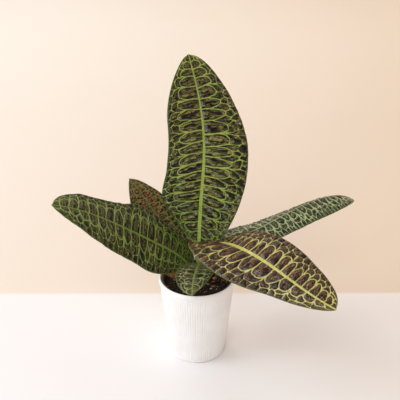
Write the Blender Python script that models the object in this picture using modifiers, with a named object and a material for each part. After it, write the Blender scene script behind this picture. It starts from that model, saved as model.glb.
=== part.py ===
"""A house plant with large net-veined leaves, standing in a ribbed white pot.

Lengths in the named values are millimetres and angles are degrees. The origin is on the
ground under the middle of the pot, +Z is up, and -Y is the side that the plant is seen from.
"""

import math
import random

import bmesh
import bpy
import numpy as np
from mathutils import Vector, noise
from mathutils.geometry import delaunay_2d_cdt

MM = 0.001
GAP = 0.3  # room between two pieces that touch

# White outer pot
POT_HEIGHT = 102.0
POT_RIM_RADIUS = 45.0
POT_LIP_STEP = 0.5  # the plain lip stands out from the ribbed wall by this
POT_LIP_HEIGHT = 6.0
POT_BASE_RADIUS = 33.3
POT_EDGE_ROUND = 1.6
POT_WALL = 2.7
POT_FLOOR = 5.0
POT_RIBS = 90
RIB_DEPTH = 0.45
RIB_STEPS = 2  # one column on each crest and one in each valley

# Dark inner nursery pot, standing on the white pot's floor
LINER_HEIGHT = 94.0
LINER_RIM_OUTER = 41.3
LINER_RIM_HEIGHT = 3.0
LINER_TOP_RADIUS = 40.4
LINER_FLOOR_RADIUS = 29.6
LINER_WALL = 1.0
DRAIN_HOLES = 5
DRAIN_HOLE_RADIUS = 3.5
DRAIN_RING_RADIUS = 19.0

# Soil
SOIL_TOP = 94.0
SOIL_BUMP = 1.3
SOIL_HOLE_DEPTH = 16.0
SOIL_RINGS = (36.5, 32.5, 28.0, 23.5, 19.0, 14.5, 10.0)

# Short stem whose swollen crown carries the leaves
STEM_RADIUS = 5.0
CROWN_RADIUS = 9.4
CROWN_MIDDLE = 111.0
CROWN_TOP = 118.5
SCAR_HEIGHTS = (97.5, 101.5)  # rings left by leaves that fell

# Leaf blades
LAMINA = 0.8
MIDRIB_HALF = 2.2  # from the middle of the midrib to its edge, at the base
KEEL = 1.9  # how far the midrib stands out below, at the base
TIP_BLUNTNESS = 8  # the half-width is rounded off at the tip by sqrt(1 - v ** this)
MARGIN_STEP = 6.5
SOCKET_DEPTH = 9.0
FULL_RELIEF_WIDTH = 22.0  # half-width from which the cells stand up to their full height

# The net's veins
VEIN_LEAN = 12.0  # of side veins, towards the tip
LEAN_SPREAD = 8.0
CREST_SWELL = 0.36  # how far a first-row cell bows out past its side veins, in pitches
CREST_CHANCE = 0.5  # share of those bows from which a second-row vein leaves
SECOND_SWELL = 1.6  # the same bow for the second row, in millimetres
SECOND_RELIEF = 0.8

# A leaf's whole length is its petiole and its blade. rise and heading are the direction of
# its middle line, above the ground and round from +X, at even steps from foot to tip. roll,
# the half-widths, the fold of each half from the midrib and its further curl are at even
# steps from the blade's base to its tip. pitch is the space between side veins, and rows
# are where the first and second rows of cells end, as shares of the half-width.
LEAVES = {
    "leaf_upright": dict(
        length=251, petiole=17, foot=(1.0, 5.9, 113.0),
        rise=(86, 86, 65, 57, 61), heading=(25, 67, 99, 124), roll=(-11, -19, -9, 1),
        right=(12, 32.5, 46, 53, 54, 48, 39, 31), left=(8, 26.5, 44, 43, 43.3, 45, 39.3, 26.5),
        fold_right=(-1, 4, 6), fold_left=(11, 14, 10), curl_right=(-24, -14), curl_left=(-13, -5),
        pitch=12.6, rows=(0.55, 0.83), bulge=1.7, seed=11, colour=(0.07, 0.10, 0.03)),
    "leaf_left": dict(
        length=191, petiole=6, foot=(-5.8, -1.5, 112.0),
        rise=(61, 38, 35, 29, 14), heading=(210, 197, 193, 193), roll=(39, 25, 11, 8),
        right=(14, 25, 32, 41.5, 35.5, 30.5, 31.5, 30), left=(6, 25, 34.5, 34.5, 36, 35, 27.5, 17),
        fold_right=(16, 11, 8), fold_left=(-14, -7, 0), curl_right=(-4, -7), curl_left=(-26, -19),
        pitch=12.0, rows=(0.48, 0.82), bulge=1.7, seed=23, colour=(0.05, 0.08, 0.02)),
    "leaf_back_left": dict(
        length=132, petiole=12, foot=(-4.6, 3.9, 112.0),
        rise=(35, 37, 39, 38, 30), heading=(140, 136, 134, 138), roll=(9, 7, 5, 0),
        right=(10, 22, 25, 25, 25, 24, 20, 16), left=(4, 9, 17, 22, 25, 23.5, 17.5, 9),
        fold_right=(14, 7, -1), fold_left=(9, 6, 2), curl_right=(-3, -7), curl_left=(-6, -9),
        pitch=10.0, rows=(0.52, 0.82), bulge=1.3, seed=37, colour=(0.13, 0.08, 0.03)),
    "leaf_right": dict(
        length=238, petiole=18, foot=(5.6, 2.0, 112.0),
        rise=(44, 14, 15, -2, -35), heading=(28, 27, 32, 42), roll=(-17, 5, 13, 24),
        right=(3.5, 15, 24, 28, 30, 30, 25, 14), left=(12, 25, 29, 32, 35, 33, 30, 25),
        fold_right=(-11, -15, -20), fold_left=(2, -16, -31), curl_right=(-18, -19), curl_left=(-6, -17),
        pitch=12.6, rows=(0.52, 0.82), bulge=1.7, seed=41, colour=(0.07, 0.10, 0.06)),
    "leaf_front_right": dict(
        length=241, petiole=22, foot=(4.5, -4.0, 113.0),
        rise=(79, 37, 6, -15, -12), heading=(-72, -58, -45, -34), roll=(15, -5, -24, -33),
        right=(3.5, 25, 41, 44, 38, 27, 19, 10), left=(3.5, 16, 27, 33.5, 36.5, 35.5, 33, 31),
        fold_right=(33, 7, -15), fold_left=(22, 8, -8), curl_right=(-18, -26), curl_left=(-13, -17),
        pitch=13.4, rows=(0.54, 0.83), bulge=1.8, seed=53, colour=(0.10, 0.08, 0.03)),
    "leaf_front_small": dict(
        length=97, petiole=14, foot=(-0.8, -5.9, 113.0),
        rise=(62, 37, 13, -9, -34), heading=(-70, -91, -101, -90), roll=(2, 0, 0, 2),
        right=(2.5, 8, 12, 16, 20, 20, 17, 11), left=(2.5, 10, 16, 20, 21, 17, 12, 3),
        fold_right=(8, 3, -1), fold_left=(7, 5, 2), curl_right=(-4, -7), curl_left=(-2, -4),
        pitch=8.5, rows=(0.50, 0.80), bulge=1.0, seed=67, colour=(0.12, 0.14, 0.07)),
    "old_leaf": dict(
        length=36, petiole=7, foot=(-3.6, 0.4, 97.0),
        rise=(12, 14, 12, 8, 2), heading=(178, 176, 172, 170), roll=(8, 20, 24, 18),
        right=(1.6, 3, 4.5, 5.5, 5.5, 5, 4, 2.5), left=(1.6, 3, 4.5, 5.5, 5.5, 4.5, 3.5, 2),
        fold_right=(10, 4, 0), fold_left=(14, 8, 4), curl_right=(-30, -40), curl_left=(-20, -30),
        pitch=9.0, rows=(0.50, 0.82), bulge=0.3, seed=71, colour=(0.25, 0.13, 0.05)),
}
BIG_PETIOLE_RADIUS = 2.1
PETIOLE_RADIUS = {"leaf_front_small": 1.8, "old_leaf": 1.3}  # the others have the big one


def along(values, share):
    """A smooth curve through evenly spaced values (Catmull-Rom), read at share 0 to 1."""
    values = np.asarray(values, float)
    spans = len(values) - 1
    place = np.clip(np.asarray(share, float), 0.0, 1.0) * spans
    first = np.minimum(place.astype(int), spans - 1)
    t = place - first
    padded = np.concatenate(([2 * values[0] - values[1]], values, [2 * values[-1] - values[-2]]))
    a, b, c, d = (padded[first + k] for k in range(4))
    return b + 0.5 * t * (c - a + t * (2 * a - 5 * b + 4 * c - d + t * (3 * (b - c) + d - a)))


class Leaf:
    """The curved sheet of one leaf: v runs 0 to 1 up the blade, u is -1 to 1 across it."""

    STEPS = 200

    def __init__(self, name):
        self.name = name
        self.size = LEAVES[name]
        self.blade = self.size["length"] - self.size["petiole"]
        self.petiole_radius = PETIOLE_RADIUS.get(name, BIG_PETIOLE_RADIUS)
        self.shares = np.linspace(0.0, 1.0, self.STEPS + 1)
        forward = self.directions(self.shares)[0]
        step = self.size["length"] / self.STEPS
        moves = np.cumsum((forward[1:] + forward[:-1]) / 2 * step, axis=0)
        self.line = np.vstack(([[0.0, 0.0, 0.0]], moves)) + np.array(self.size["foot"])

    def directions(self, share):
        """Forward, right and up for shares of the whole length, before the blade's roll."""
        rise = np.radians(along(self.size["rise"], share))
        heading = np.radians(along(self.size["heading"], share))
        level = np.zeros_like(rise)
        forward = np.stack((np.cos(rise) * np.cos(heading), np.cos(rise) * np.sin(heading), np.sin(rise)), -1)
        right = np.stack((np.sin(heading), -np.cos(heading), level), -1)
        up = np.stack((-np.sin(rise) * np.cos(heading), -np.sin(rise) * np.sin(heading), np.cos(rise)), -1)
        return forward, right, up

    def frame(self, share, v):
        """Centre, right and up on the middle line, rolled as the blade is at v."""
        centre = np.stack([np.interp(share, self.shares, self.line[:, axis]) for axis in range(3)], -1)
        _, right, up = self.directions(share)
        roll = np.radians(along(self.size["roll"], v))[:, None]
        return centre, np.cos(roll) * right + np.sin(roll) * up, np.cos(roll) * up - np.sin(roll) * right

    def half_width(self, v, side):
        rounding = np.sqrt(np.maximum(1.0 - np.asarray(v, float) ** TIP_BLUNTNESS, 0.0))
        return along(self.size["right" if side > 0 else "left"], v) * rounding

    def points(self, v, u, lift):
        """Points of the sheet, each moved by lift along the sheet's own normal."""
        v, u, lift = (np.asarray(values, float) for values in (v, u, lift))
        start = self.size["petiole"] / self.size["length"]
        centre, right, up = self.frame(start + (1.0 - start) * v, v)
        on_right = u >= 0.0
        side = np.where(on_right, 1.0, -1.0)
        reach = np.abs(u)
        width = np.where(on_right, self.half_width(v, 1), self.half_width(v, -1))
        fold, curl = (np.radians(np.where(on_right, along(self.size[kind + "_right"], v),
                                          along(self.size[kind + "_left"], v)))
                      for kind in ("fold", "curl"))
        curl = np.where(np.abs(curl) < 1e-4, 1e-4, curl)
        slope = fold + curl * reach
        across = width * (np.sin(slope) - np.sin(fold)) / curl * side
        rising = width * (np.cos(fold) - np.cos(slope)) / curl
        lean = np.where(reach > 0.0, slope * side, 0.0)
        normal = np.cos(lean)[:, None] * up - np.sin(lean)[:, None] * right
        return centre + across[:, None] * right + rising[:, None] * up + lift[:, None] * normal


class FlatNet:
    """Points of the vein net on the blade laid flat, and the edges that follow veins."""

    def __init__(self, leaf):
        self.leaf = leaf
        self.v = []
        self.u = []
        self.lift = []
        self.keel = []
        self.edges = []

    def add(self, v, u, lift=0.0, keel=0.0):
        self.v.append(v)
        self.u.append(u)
        self.lift.append(lift)
        self.keel.append(keel)
        return len(self.v) - 1

    def chain(self, indices):
        self.edges.extend(zip(indices[:-1], indices[1:]))

    def flat(self):
        """Millimetres to the right of the midrib and forward from the blade's base."""
        v = np.array(self.v)
        u = np.array(self.u)
        width = np.where(u >= 0.0, self.leaf.half_width(v, 1), self.leaf.half_width(v, -1))
        return np.stack((u * width, v * self.leaf.blade), -1)


def vein_starts(leaf, draw):
    """Shares of the blade at which side veins leave the midrib, for one side."""
    count = round(leaf.blade / leaf.size["pitch"])
    return [(i + 0.55 + 0.24 * (draw.random() - 0.5)) / (count + 0.2) for i in range(count)]


def middle_lines(net, starts):
    """The midrib and the line along each of its edges, with a point at every side vein."""
    leaf = net.leaf
    places = sorted(starts[1] + starts[-1])
    merged = [places[0]]
    for place in places[1:]:
        if (place - merged[-1]) * leaf.blade > 2.5:
            merged.append(place)
    heft = leaf.petiole_radius / BIG_PETIOLE_RADIUS
    base = [net.add(0.0, u, keel=heft * KEEL * (1.0 - u * u)) for u in (-1.0, -0.5, 0.0, 0.5, 1.0)]
    tip = net.add(1.0, 0.0)
    middle = [base[2]]
    edges = {-1: [base[1]], 1: [base[3]]}
    for place in merged:
        thinning = heft * (1.0 - 0.75 * place)
        middle.append(net.add(place, 0.0, keel=KEEL * thinning))
        for side in (-1, 1):
            width = leaf.half_width(place, side)
            edges[side].append(net.add(place, side * min(MIDRIB_HALF * thinning / width, 0.5)))
    net.chain(middle + [tip])
    for side in (-1, 1):
        net.chain(edges[side])
    return base, tip, merged, edges


def fading(width, v):
    """The relief is full on the broad of the blade, and dies away where it is narrow."""
    return min(1.0, width / FULL_RELIEF_WIDTH) * min(1.0, 6.0 * (1.0 - v))


def side_net(net, side, starts, merged, edge, tip, draw):
    """Side veins, and the first and second rows of cells, of one half of the blade."""
    leaf = net.leaf
    size = leaf.size
    row_one, row_two = size["rows"]
    bulge = size["bulge"]
    cell = size["pitch"] / leaf.blade
    valleys = []
    for place in starts:
        width = leaf.half_width(place, side)
        share = row_one + 0.06 * (draw.random() - 0.5)
        lean = math.tan(math.radians(VEIN_LEAN + LEAN_SPREAD * (draw.random() - 0.5)))
        ahead = lean * share * width / leaf.blade
        nearest = min(range(len(merged)), key=lambda i: abs(merged[i] - place))
        leaving = edge[nearest + 1]
        valley = net.add(min(place + ahead, 0.985), side * share)
        halfway = net.add(place + 0.45 * ahead, side * (abs(net.u[leaving]) + share) / 2)
        net.chain([leaving, halfway, valley])
        valleys.append(valley)

    # The first row's outer line swells out between one side vein's end and the next
    outer = [valleys[0]]
    crests = []
    for first, second in zip(valleys[:-1], valleys[1:]):
        v = (net.v[first] + net.v[second]) / 2
        width = leaf.half_width(v, side)
        swell = min(CREST_SWELL * size["pitch"] / width, 0.15)
        crest = net.add(v, side * ((abs(net.u[first]) + abs(net.u[second])) / 2 + swell))
        crests.append(crest)
        outer.extend((crest, second))
    last = net.v[valleys[-1]]
    crest = net.add((last + 1.0) / 2, side * 0.75 * row_one)
    net.chain(outer + [crest, tip])

    # Pillows of the first row, two to a cell
    for first, second in zip(starts[:-1], starts[1:]):
        v = (first + second) / 2
        width = leaf.half_width(v, side)
        for reach in (0.26, 0.86):
            u = side * reach * row_one
            net.add(v + 0.2 * reach * row_one * width / leaf.blade, u, bulge * fading(width, v))
    net.add((starts[-1] + 1.0) / 2, side * 0.5 * row_one, bulge * 0.4)

    # Second row: a vein goes out from every valley and from some crests
    roots = []
    for index in outer:
        wide = leaf.half_width(net.v[index], side) > 11.0
        if wide and (index in valleys or draw.random() < CREST_CHANCE):
            roots.append(index)
    ends = []
    for index in roots:
        jitter = 0.16 * cell * (draw.random() - 0.5)
        share = row_two + 0.04 * (draw.random() - 0.5)
        end = net.add(min(net.v[index] + 0.1 * cell + jitter, 0.99), side * share)
        net.chain([index, end])
        ends.append(end)
    line = ends[:1]
    for first, second in zip(range(len(ends) - 1), range(1, len(ends))):
        v = (net.v[ends[first]] + net.v[ends[second]]) / 2
        width = leaf.half_width(v, side)
        between = [index for index in crests if net.v[roots[first]] < net.v[index] < net.v[roots[second]]]
        inner = abs(net.u[between[0]]) if between else abs(net.u[roots[first]] + net.u[roots[second]]) / 2
        middle = (v + (net.v[roots[first]] + net.v[roots[second]]) / 2) / 2
        room = (net.v[roots[second]] - net.v[roots[first]]) / cell
        lift = SECOND_RELIEF * bulge * min(room, 1.0) * fading(width, middle)
        net.add(middle, side * (inner + row_two) / 2, lift)
        line.extend((net.add(v, side * (row_two + min(SECOND_SWELL / width, 0.06))), ends[second]))
    net.chain(line)


def margin(net, side):
    """Points along the leaf's edge, evenly spaced, from base to tip."""
    leaf = net.leaf
    v = np.linspace(0.0, 1.0, 400)
    walk = np.stack((leaf.half_width(v, side), v * leaf.blade), -1)
    run = np.concatenate(([0.0], np.cumsum(np.linalg.norm(np.diff(walk, axis=0), axis=1))))
    count = max(int(run[-1] / MARGIN_STEP), 6)
    return [net.add(float(np.interp(run[-1] * i / count, run, v)), float(side)) for i in range(1, count)]


def triangulate(net, loop):
    """Triangles that fill the loop and keep every vein as an edge."""
    flat = [Vector(point) for point in net.flat()]
    found = delaunay_2d_cdt(flat, net.edges, [loop], 1, 1e-4)
    origin = found[3]
    if any(len(ids) != 1 for ids in origin):
        raise RuntimeError(net.leaf.name + ": veins cross or points meet")
    return [[origin[corner][0] for corner in face] for face in found[2]]


def petiole_section(leaf, share, blade_section, grow):
    """Ten points round the petiole at a share of its own length, foot to blade."""
    angles = np.radians([162, 126, 90, 54, 18, -18, -54, -90, -126, -162])
    round_section = (leaf.petiole_radius + grow) * np.stack((np.cos(angles), np.sin(angles)), -1)
    blend = max(share, 0.0) ** 2 * (3 - 2 * max(share, 0.0))
    section = (1 - blend) * round_section + blend * blade_section
    whole = np.array([share * leaf.size["petiole"] / leaf.size["length"]])
    centre, right, up = leaf.frame(np.maximum(whole, 0.0), np.zeros(1))
    behind = min(share, 0.0) * leaf.size["petiole"] * leaf.directions(np.zeros(1))[0]
    return centre + behind + section[:, :1] * right + section[:, 1:] * up


def new_mesh_object(name, points, faces, collection):
    """A mesh object from points in millimetres, with its faces turned outwards."""
    mesh = bpy.data.meshes.new(name)
    mesh.from_pydata([Vector(point) * MM for point in points], [], faces)
    work = bmesh.new()
    work.from_mesh(mesh)
    bmesh.ops.recalc_face_normals(work, faces=work.faces)
    work.to_mesh(mesh)
    work.free()
    piece = bpy.data.objects.new(name, mesh)
    collection.objects.link(piece)
    return piece


def ring_faces(first, second):
    """Quads between two rings of point numbers."""
    count = len(first)
    return [(first[i], first[(i + 1) % count], second[(i + 1) % count], second[i]) for i in range(count)]


def make_leaf(name, collection):
    """One leaf: its blade with the raised net on both faces, lofted into its petiole."""
    leaf = Leaf(name)
    draw = random.Random(leaf.size["seed"])
    net = FlatNet(leaf)
    starts = {side: vein_starts(leaf, draw) for side in (1, -1)}
    base, tip, merged, edges = middle_lines(net, starts)
    for side in (1, -1):
        side_net(net, side, starts[side], merged, edges[side], tip, draw)
    loop = [base[4]] + margin(net, 1) + [tip] + margin(net, -1)[::-1] + base[:4]
    triangles = triangulate(net, loop)

    v, u, lift, keel = (np.array(values) for values in (net.v, net.u, net.lift, net.keel))
    top = leaf.points(v, u, lift + LAMINA / 2)
    bottom = leaf.points(v, u, lift - LAMINA / 2 - keel)
    count = len(top)
    faces = [tuple(face) for face in triangles]
    faces += [tuple(corner + count for corner in reversed(face)) for face in triangles]
    around = loop[:loop.index(base[0]) + 1]
    for first, second in zip(around[:-1], around[1:]):
        faces.append((second, first, first + count))
        faces.append((second, first + count, second + count))

    # The petiole runs from the blade's first section down to its round foot
    blade_ring = base + [index + count for index in reversed(base)]
    points = np.vstack((top, bottom))
    centre, right, up = leaf.frame(np.array([leaf.size["petiole"] / leaf.size["length"]]), np.zeros(1))
    offsets = points[blade_ring] - centre
    blade_section = np.stack((offsets @ right[0], offsets @ up[0]), -1)
    rings = 5
    previous = blade_ring
    for step in reversed(range(rings)):
        section = petiole_section(leaf, step / rings, blade_section, 0.0)
        ring = list(range(len(points), len(points) + len(section)))
        points = np.vstack((points, section))
        faces += ring_faces(previous, ring)
        previous = ring
    faces.append(tuple(previous))
    piece = new_mesh_object(name, points, faces, collection)
    finish(piece, leaf.size["colour"], 0.45)
    veins = {frozenset(edge) for edge in net.edges}
    for edge in piece.data.edges:
        edge.use_edge_sharp = edge.use_edge_sharp or frozenset(edge.vertices) in veins
    return leaf, blade_section


def make_socket_cutter(leaf, blade_section, collection):
    """A tube a little fatter than a petiole's foot, to cut its seat in the crown."""
    reach = min(SOCKET_DEPTH / leaf.size["petiole"], 1.0)
    behind = GAP / leaf.size["petiole"]
    shares = [-behind] + [reach * step / 3 for step in range(4)]
    points = np.vstack([petiole_section(leaf, share, blade_section, GAP + 0.05) for share in shares])
    rings = [list(range(10 * i, 10 * i + 10)) for i in range(len(shares))]
    faces = [tuple(rings[0]), tuple(rings[-1])]
    for first, second in zip(rings[:-1], rings[1:]):
        faces += ring_faces(first, second)
    cutter = new_mesh_object("seat_of_" + leaf.name, points, faces, collection)
    cutter.hide_render = True
    cutter.display_type = "WIRE"
    return cutter


def finish(piece, colour, roughness):
    """Give a piece its own material, none of them metal, and smooth shading."""
    material = bpy.data.materials.new(piece.name)
    material.use_nodes = True
    shader = material.node_tree.nodes["Principled BSDF"]
    shader.inputs["Base Color"].default_value = (*colour, 1.0)
    shader.inputs["Roughness"].default_value = roughness
    shader.inputs["Metallic"].default_value = 0.0
    piece.data.materials.append(material)
    piece.data.shade_smooth()
    piece.data.set_sharp_from_angle(angle=math.radians(40))


def turned(name, profile, steps, collection):
    """A solid turned from a closed-off profile of (radius, height), in millimetres."""
    mesh = bpy.data.meshes.new(name)
    mesh.from_pydata([(radius * MM, 0.0, height * MM) for radius, height in profile],
                     [(i, i + 1) for i in range(len(profile) - 1)], [])
    piece = bpy.data.objects.new(name, mesh)
    collection.objects.link(piece)
    screw = piece.modifiers.new("Turned", "SCREW")
    screw.steps = steps
    screw.render_steps = steps
    screw.use_merge_vertices = True
    screw.merge_threshold = 0.00001
    return piece


def settle(piece):
    """Turn a piece's modifiers into plain mesh, with its faces turned outwards."""
    bpy.context.view_layer.update()
    seen = piece.evaluated_get(bpy.context.evaluated_depsgraph_get())
    mesh = bpy.data.meshes.new_from_object(seen)
    work = bmesh.new()
    work.from_mesh(mesh)
    bmesh.ops.recalc_face_normals(work, faces=work.faces)
    work.to_mesh(mesh)
    work.free()
    piece.modifiers.clear()
    piece.data = mesh
    return mesh


def cut(piece, cutter):
    """Take a cutter's shape out of a piece."""
    boolean = piece.modifiers.new(cutter.name, "BOOLEAN")
    boolean.operation = "DIFFERENCE"
    boolean.solver = "EXACT"
    boolean.object = cutter


def pot_wall_radius(height):
    """Outer radius of the ribbed wall, midway between crest and valley."""
    slope = (POT_RIM_RADIUS - POT_LIP_STEP - POT_BASE_RADIUS) / POT_HEIGHT
    return POT_BASE_RADIUS + slope * height


def liner_inner_radius(height):
    """Inner radius of the nursery pot at a height above the ground."""
    floor = POT_FLOOR + GAP
    slope = (LINER_TOP_RADIUS - LINER_FLOOR_RADIUS) / (LINER_HEIGHT - LINER_RIM_HEIGHT)
    return LINER_FLOOR_RADIUS - LINER_WALL + slope * (height - floor)


def make_pot(collection):
    """The white pot, with upright ribs raised from its turned wall by a formula."""
    lip = POT_HEIGHT - POT_LIP_HEIGHT
    rib_foot = POT_EDGE_ROUND + 3.0
    rib_head = lip - 2.0
    edge = [(POT_BASE_RADIUS - POT_EDGE_ROUND * (1 - math.sin(a)), POT_EDGE_ROUND * (1 - math.cos(a)))
            for a in (math.radians(angle) for angle in (90, 45, 0))]
    inner_rim = POT_RIM_RADIUS - POT_WALL
    profile = [
        (0.0, POT_FLOOR),
        (POT_BASE_RADIUS - 3.0, POT_FLOOR),
        (inner_rim, POT_HEIGHT - 1.0),
        (inner_rim + 0.8, POT_HEIGHT),
        (POT_RIM_RADIUS - 0.8, POT_HEIGHT),
        (POT_RIM_RADIUS, POT_HEIGHT - 1.0),
        (POT_RIM_RADIUS - 0.2, lip),
        (pot_wall_radius(rib_head), rib_head),
        (pot_wall_radius(rib_foot), rib_foot),
        *edge,
        (0.0, 0.0),
    ]
    piece = turned("pot", profile, POT_RIBS * RIB_STEPS, collection)
    mesh = settle(piece)
    for vertex in mesh.vertices:
        radius = math.hypot(vertex.co.x, vertex.co.y)
        ribbed = rib_foot - 0.01 <= vertex.co.z / MM <= rib_head + 0.01
        if ribbed and radius > (pot_wall_radius(vertex.co.z / MM) - 1.0) * MM:
            turn = math.atan2(vertex.co.y, vertex.co.x)
            stretch = 1.0 + RIB_DEPTH / 2 * math.cos(POT_RIBS * turn) * MM / radius
            vertex.co.x *= stretch
            vertex.co.y *= stretch
    finish(piece, (0.86, 0.85, 0.83), 0.5)


def make_nursery_pot(collection, cutters):
    """The thin dark pot inside, with a flat rim and a ring of drain holes."""
    floor = POT_FLOOR + GAP
    rim = floor + LINER_HEIGHT
    rim_foot = rim - LINER_RIM_HEIGHT
    profile = [
        (0.0, floor + LINER_WALL),
        (liner_inner_radius(floor + LINER_WALL), floor + LINER_WALL),
        (liner_inner_radius(rim_foot), rim_foot),
        (LINER_TOP_RADIUS - LINER_WALL, rim),
        (LINER_RIM_OUTER - 0.3, rim),
        (LINER_RIM_OUTER, rim - 0.4),
        (LINER_RIM_OUTER, rim_foot),
        (LINER_TOP_RADIUS, rim_foot),
        (LINER_FLOOR_RADIUS, floor),
        (0.0, floor),
    ]
    piece = turned("nursery_pot", profile, 48, collection)
    settle(piece)
    for number in range(DRAIN_HOLES):
        turn = 2 * math.pi * (number + 0.25) / DRAIN_HOLES
        place = (DRAIN_RING_RADIUS * math.cos(turn) * MM, DRAIN_RING_RADIUS * math.sin(turn) * MM, floor * MM)
        bpy.ops.mesh.primitive_cylinder_add(vertices=12, radius=DRAIN_HOLE_RADIUS * MM, depth=4 * MM, location=place)
        cutter = bpy.context.object
        cutter.name = "drain_hole_%d" % (number + 1)
        move_to(cutter, cutters)
        cutter.hide_render = True
        cutter.display_type = "WIRE"
        cut(piece, cutter)
    finish(piece, (0.12, 0.09, 0.07), 0.55)


def move_to(piece, collection):
    """Keep a piece in one collection only."""
    for holder in list(piece.users_collection):
        holder.objects.unlink(piece)
    collection.objects.link(piece)


def make_soil(collection):
    """The potting mix: it fills the nursery pot, and its top is uneven, with a plain hole."""
    floor = POT_FLOOR + 2 * GAP + LINER_WALL
    edge = SOIL_TOP - 1.0
    room = GAP + 0.1  # a little more than the gap, as both walls are many-sided
    hole = STEM_RADIUS + room
    profile = [(0.0, SOIL_TOP - SOIL_HOLE_DEPTH), (hole, SOIL_TOP - SOIL_HOLE_DEPTH), (hole, SOIL_TOP)]
    profile += [(radius, SOIL_TOP) for radius in reversed(SOIL_RINGS)]
    profile += [(liner_inner_radius(edge) - room, edge), (liner_inner_radius(floor) - room, floor), (0.0, floor)]
    piece = turned("soil", profile, 48, collection)
    mesh = settle(piece)
    for vertex in mesh.vertices:
        radius = math.hypot(vertex.co.x, vertex.co.y) / MM
        if vertex.co.z > (SOIL_TOP - 0.5) * MM and radius > SOIL_RINGS[-1] - 1.0:
            spot = Vector((vertex.co.x, vertex.co.y, 0.0)) / MM
            bump = noise.noise(spot * 0.17) + 0.6 * noise.noise(spot * 0.41)
            vertex.co.z += SOIL_BUMP * bump * MM
    finish(piece, (0.02, 0.015, 0.012), 0.95)


def make_stem(collection, seats):
    """The short stem, ringed with leaf scars, and the crown with a seat for each petiole."""
    foot = SOIL_TOP - SOIL_HOLE_DEPTH + GAP
    profile = [(0.0, CROWN_TOP), (CROWN_RADIUS * 0.5, CROWN_TOP - 1.0), (CROWN_RADIUS * 0.82, CROWN_TOP - 3.2),
               (CROWN_RADIUS, CROWN_MIDDLE + 0.5), (CROWN_RADIUS * 0.92, CROWN_MIDDLE - 3.0),
               (STEM_RADIUS + 1.2, CROWN_MIDDLE - 7.0)]
    for height in reversed(SCAR_HEIGHTS):
        profile += [(STEM_RADIUS, height + 1.0), (STEM_RADIUS + 0.6, height), (STEM_RADIUS, height - 1.0)]
    profile += [(STEM_RADIUS, SOIL_TOP), (STEM_RADIUS - 0.4, foot + 1.0), (STEM_RADIUS - 1.4, foot), (0.0, foot)]
    piece = turned("stem", profile, 24, collection)
    settle(piece)
    for seat in seats:
        cut(piece, seat)
    finish(piece, (0.16, 0.15, 0.05), 0.7)


def main():
    for old in list(bpy.data.objects):
        bpy.data.objects.remove(old)
    plant = bpy.data.collections.new("potted_labisia")
    cutters = bpy.data.collections.new("cutters")
    for collection in (plant, cutters):
        bpy.context.scene.collection.children.link(collection)
    make_pot(plant)
    make_nursery_pot(plant, cutters)
    make_soil(plant)
    made = [make_leaf(name, plant) for name in LEAVES]
    make_stem(plant, [make_socket_cutter(leaf, section, cutters) for leaf, section in made])


main()
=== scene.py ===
import math
import random

import bmesh
import bpy
import numpy as np
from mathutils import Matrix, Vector, kdtree, noise


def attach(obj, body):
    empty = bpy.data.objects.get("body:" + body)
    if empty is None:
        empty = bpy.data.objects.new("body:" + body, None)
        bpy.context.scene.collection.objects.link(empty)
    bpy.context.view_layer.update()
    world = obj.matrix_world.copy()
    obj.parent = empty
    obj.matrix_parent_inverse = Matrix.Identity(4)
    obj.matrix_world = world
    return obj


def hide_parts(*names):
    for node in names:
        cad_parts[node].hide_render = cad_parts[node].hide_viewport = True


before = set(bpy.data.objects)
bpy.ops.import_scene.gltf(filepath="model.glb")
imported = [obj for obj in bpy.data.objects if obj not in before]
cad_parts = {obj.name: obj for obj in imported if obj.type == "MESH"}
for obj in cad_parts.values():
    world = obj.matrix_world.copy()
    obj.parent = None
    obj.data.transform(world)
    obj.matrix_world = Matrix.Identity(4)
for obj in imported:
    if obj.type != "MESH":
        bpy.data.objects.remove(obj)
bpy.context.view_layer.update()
scene = bpy.context.scene
mm = 0.001
print("frame loaded")


# Plain mesh helpers

def along(values, share):
    # a smooth curve through evenly spaced values, read at share 0 to 1
    values = np.asarray(values, float)
    spans = len(values) - 1
    place = np.clip(np.asarray(share, float), 0.0, 1.0) * spans
    first = np.minimum(place.astype(int), spans - 1)
    t = place - first
    padded = np.concatenate(([2 * values[0] - values[1]], values, [2 * values[-1] - values[-2]]))
    a, b, c, d = (padded[first + k] for k in range(4))
    return b + 0.5 * t * (c - a + t * (2 * a - 5 * b + 4 * c - d + t * (3 * (b - c) + d - a)))


def smoothStep(low, high, value):
    t = np.clip((np.asarray(value, float) - low) / (high - low), 0.0, 1.0)
    return t * t * (3.0 - 2.0 * t)


def meshPiece(name, points, quads, marks=None, weld=False):
    # points are in millimetres; marks are values kept on each vertex for the materials
    mesh = bpy.data.meshes.new(name)
    mesh.from_pydata(np.asarray(points, float) * mm, [], [tuple(face) for face in quads])
    for markName, values in (marks or {}).items():
        mark = mesh.attributes.new(markName, "FLOAT", "POINT")
        mark.data.foreach_set("value", np.asarray(values, np.float32))
    work = bmesh.new()
    work.from_mesh(mesh)
    if weld:
        bmesh.ops.remove_doubles(work, verts=work.verts, dist=0.000002)
    bmesh.ops.recalc_face_normals(work, faces=work.faces)
    work.to_mesh(mesh)
    work.free()
    mesh.shade_smooth()
    piece = bpy.data.objects.new(name, mesh)
    scene.collection.objects.link(piece)
    return piece


def gridQuads(rows, columns, closed=False):
    # faces of a grid of points stored row by row
    index = np.arange(rows * columns).reshape(rows, columns)
    nextColumn = np.roll(index, -1, axis=1)
    low, high = (index[:-1], index[1:]) if closed else (index[:-1, :-1], index[1:, :-1])
    lowNext, highNext = (nextColumn[:-1], nextColumn[1:]) if closed else (index[:-1, 1:], index[1:, 1:])
    return np.stack((low, lowNext, highNext, high), -1).reshape(-1, 4)


def place(piece, slotName, material, *nodes):
    piece.data.materials.append(material)
    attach(piece, "root")
    if nodes:
        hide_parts(*nodes)
    return piece


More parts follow.
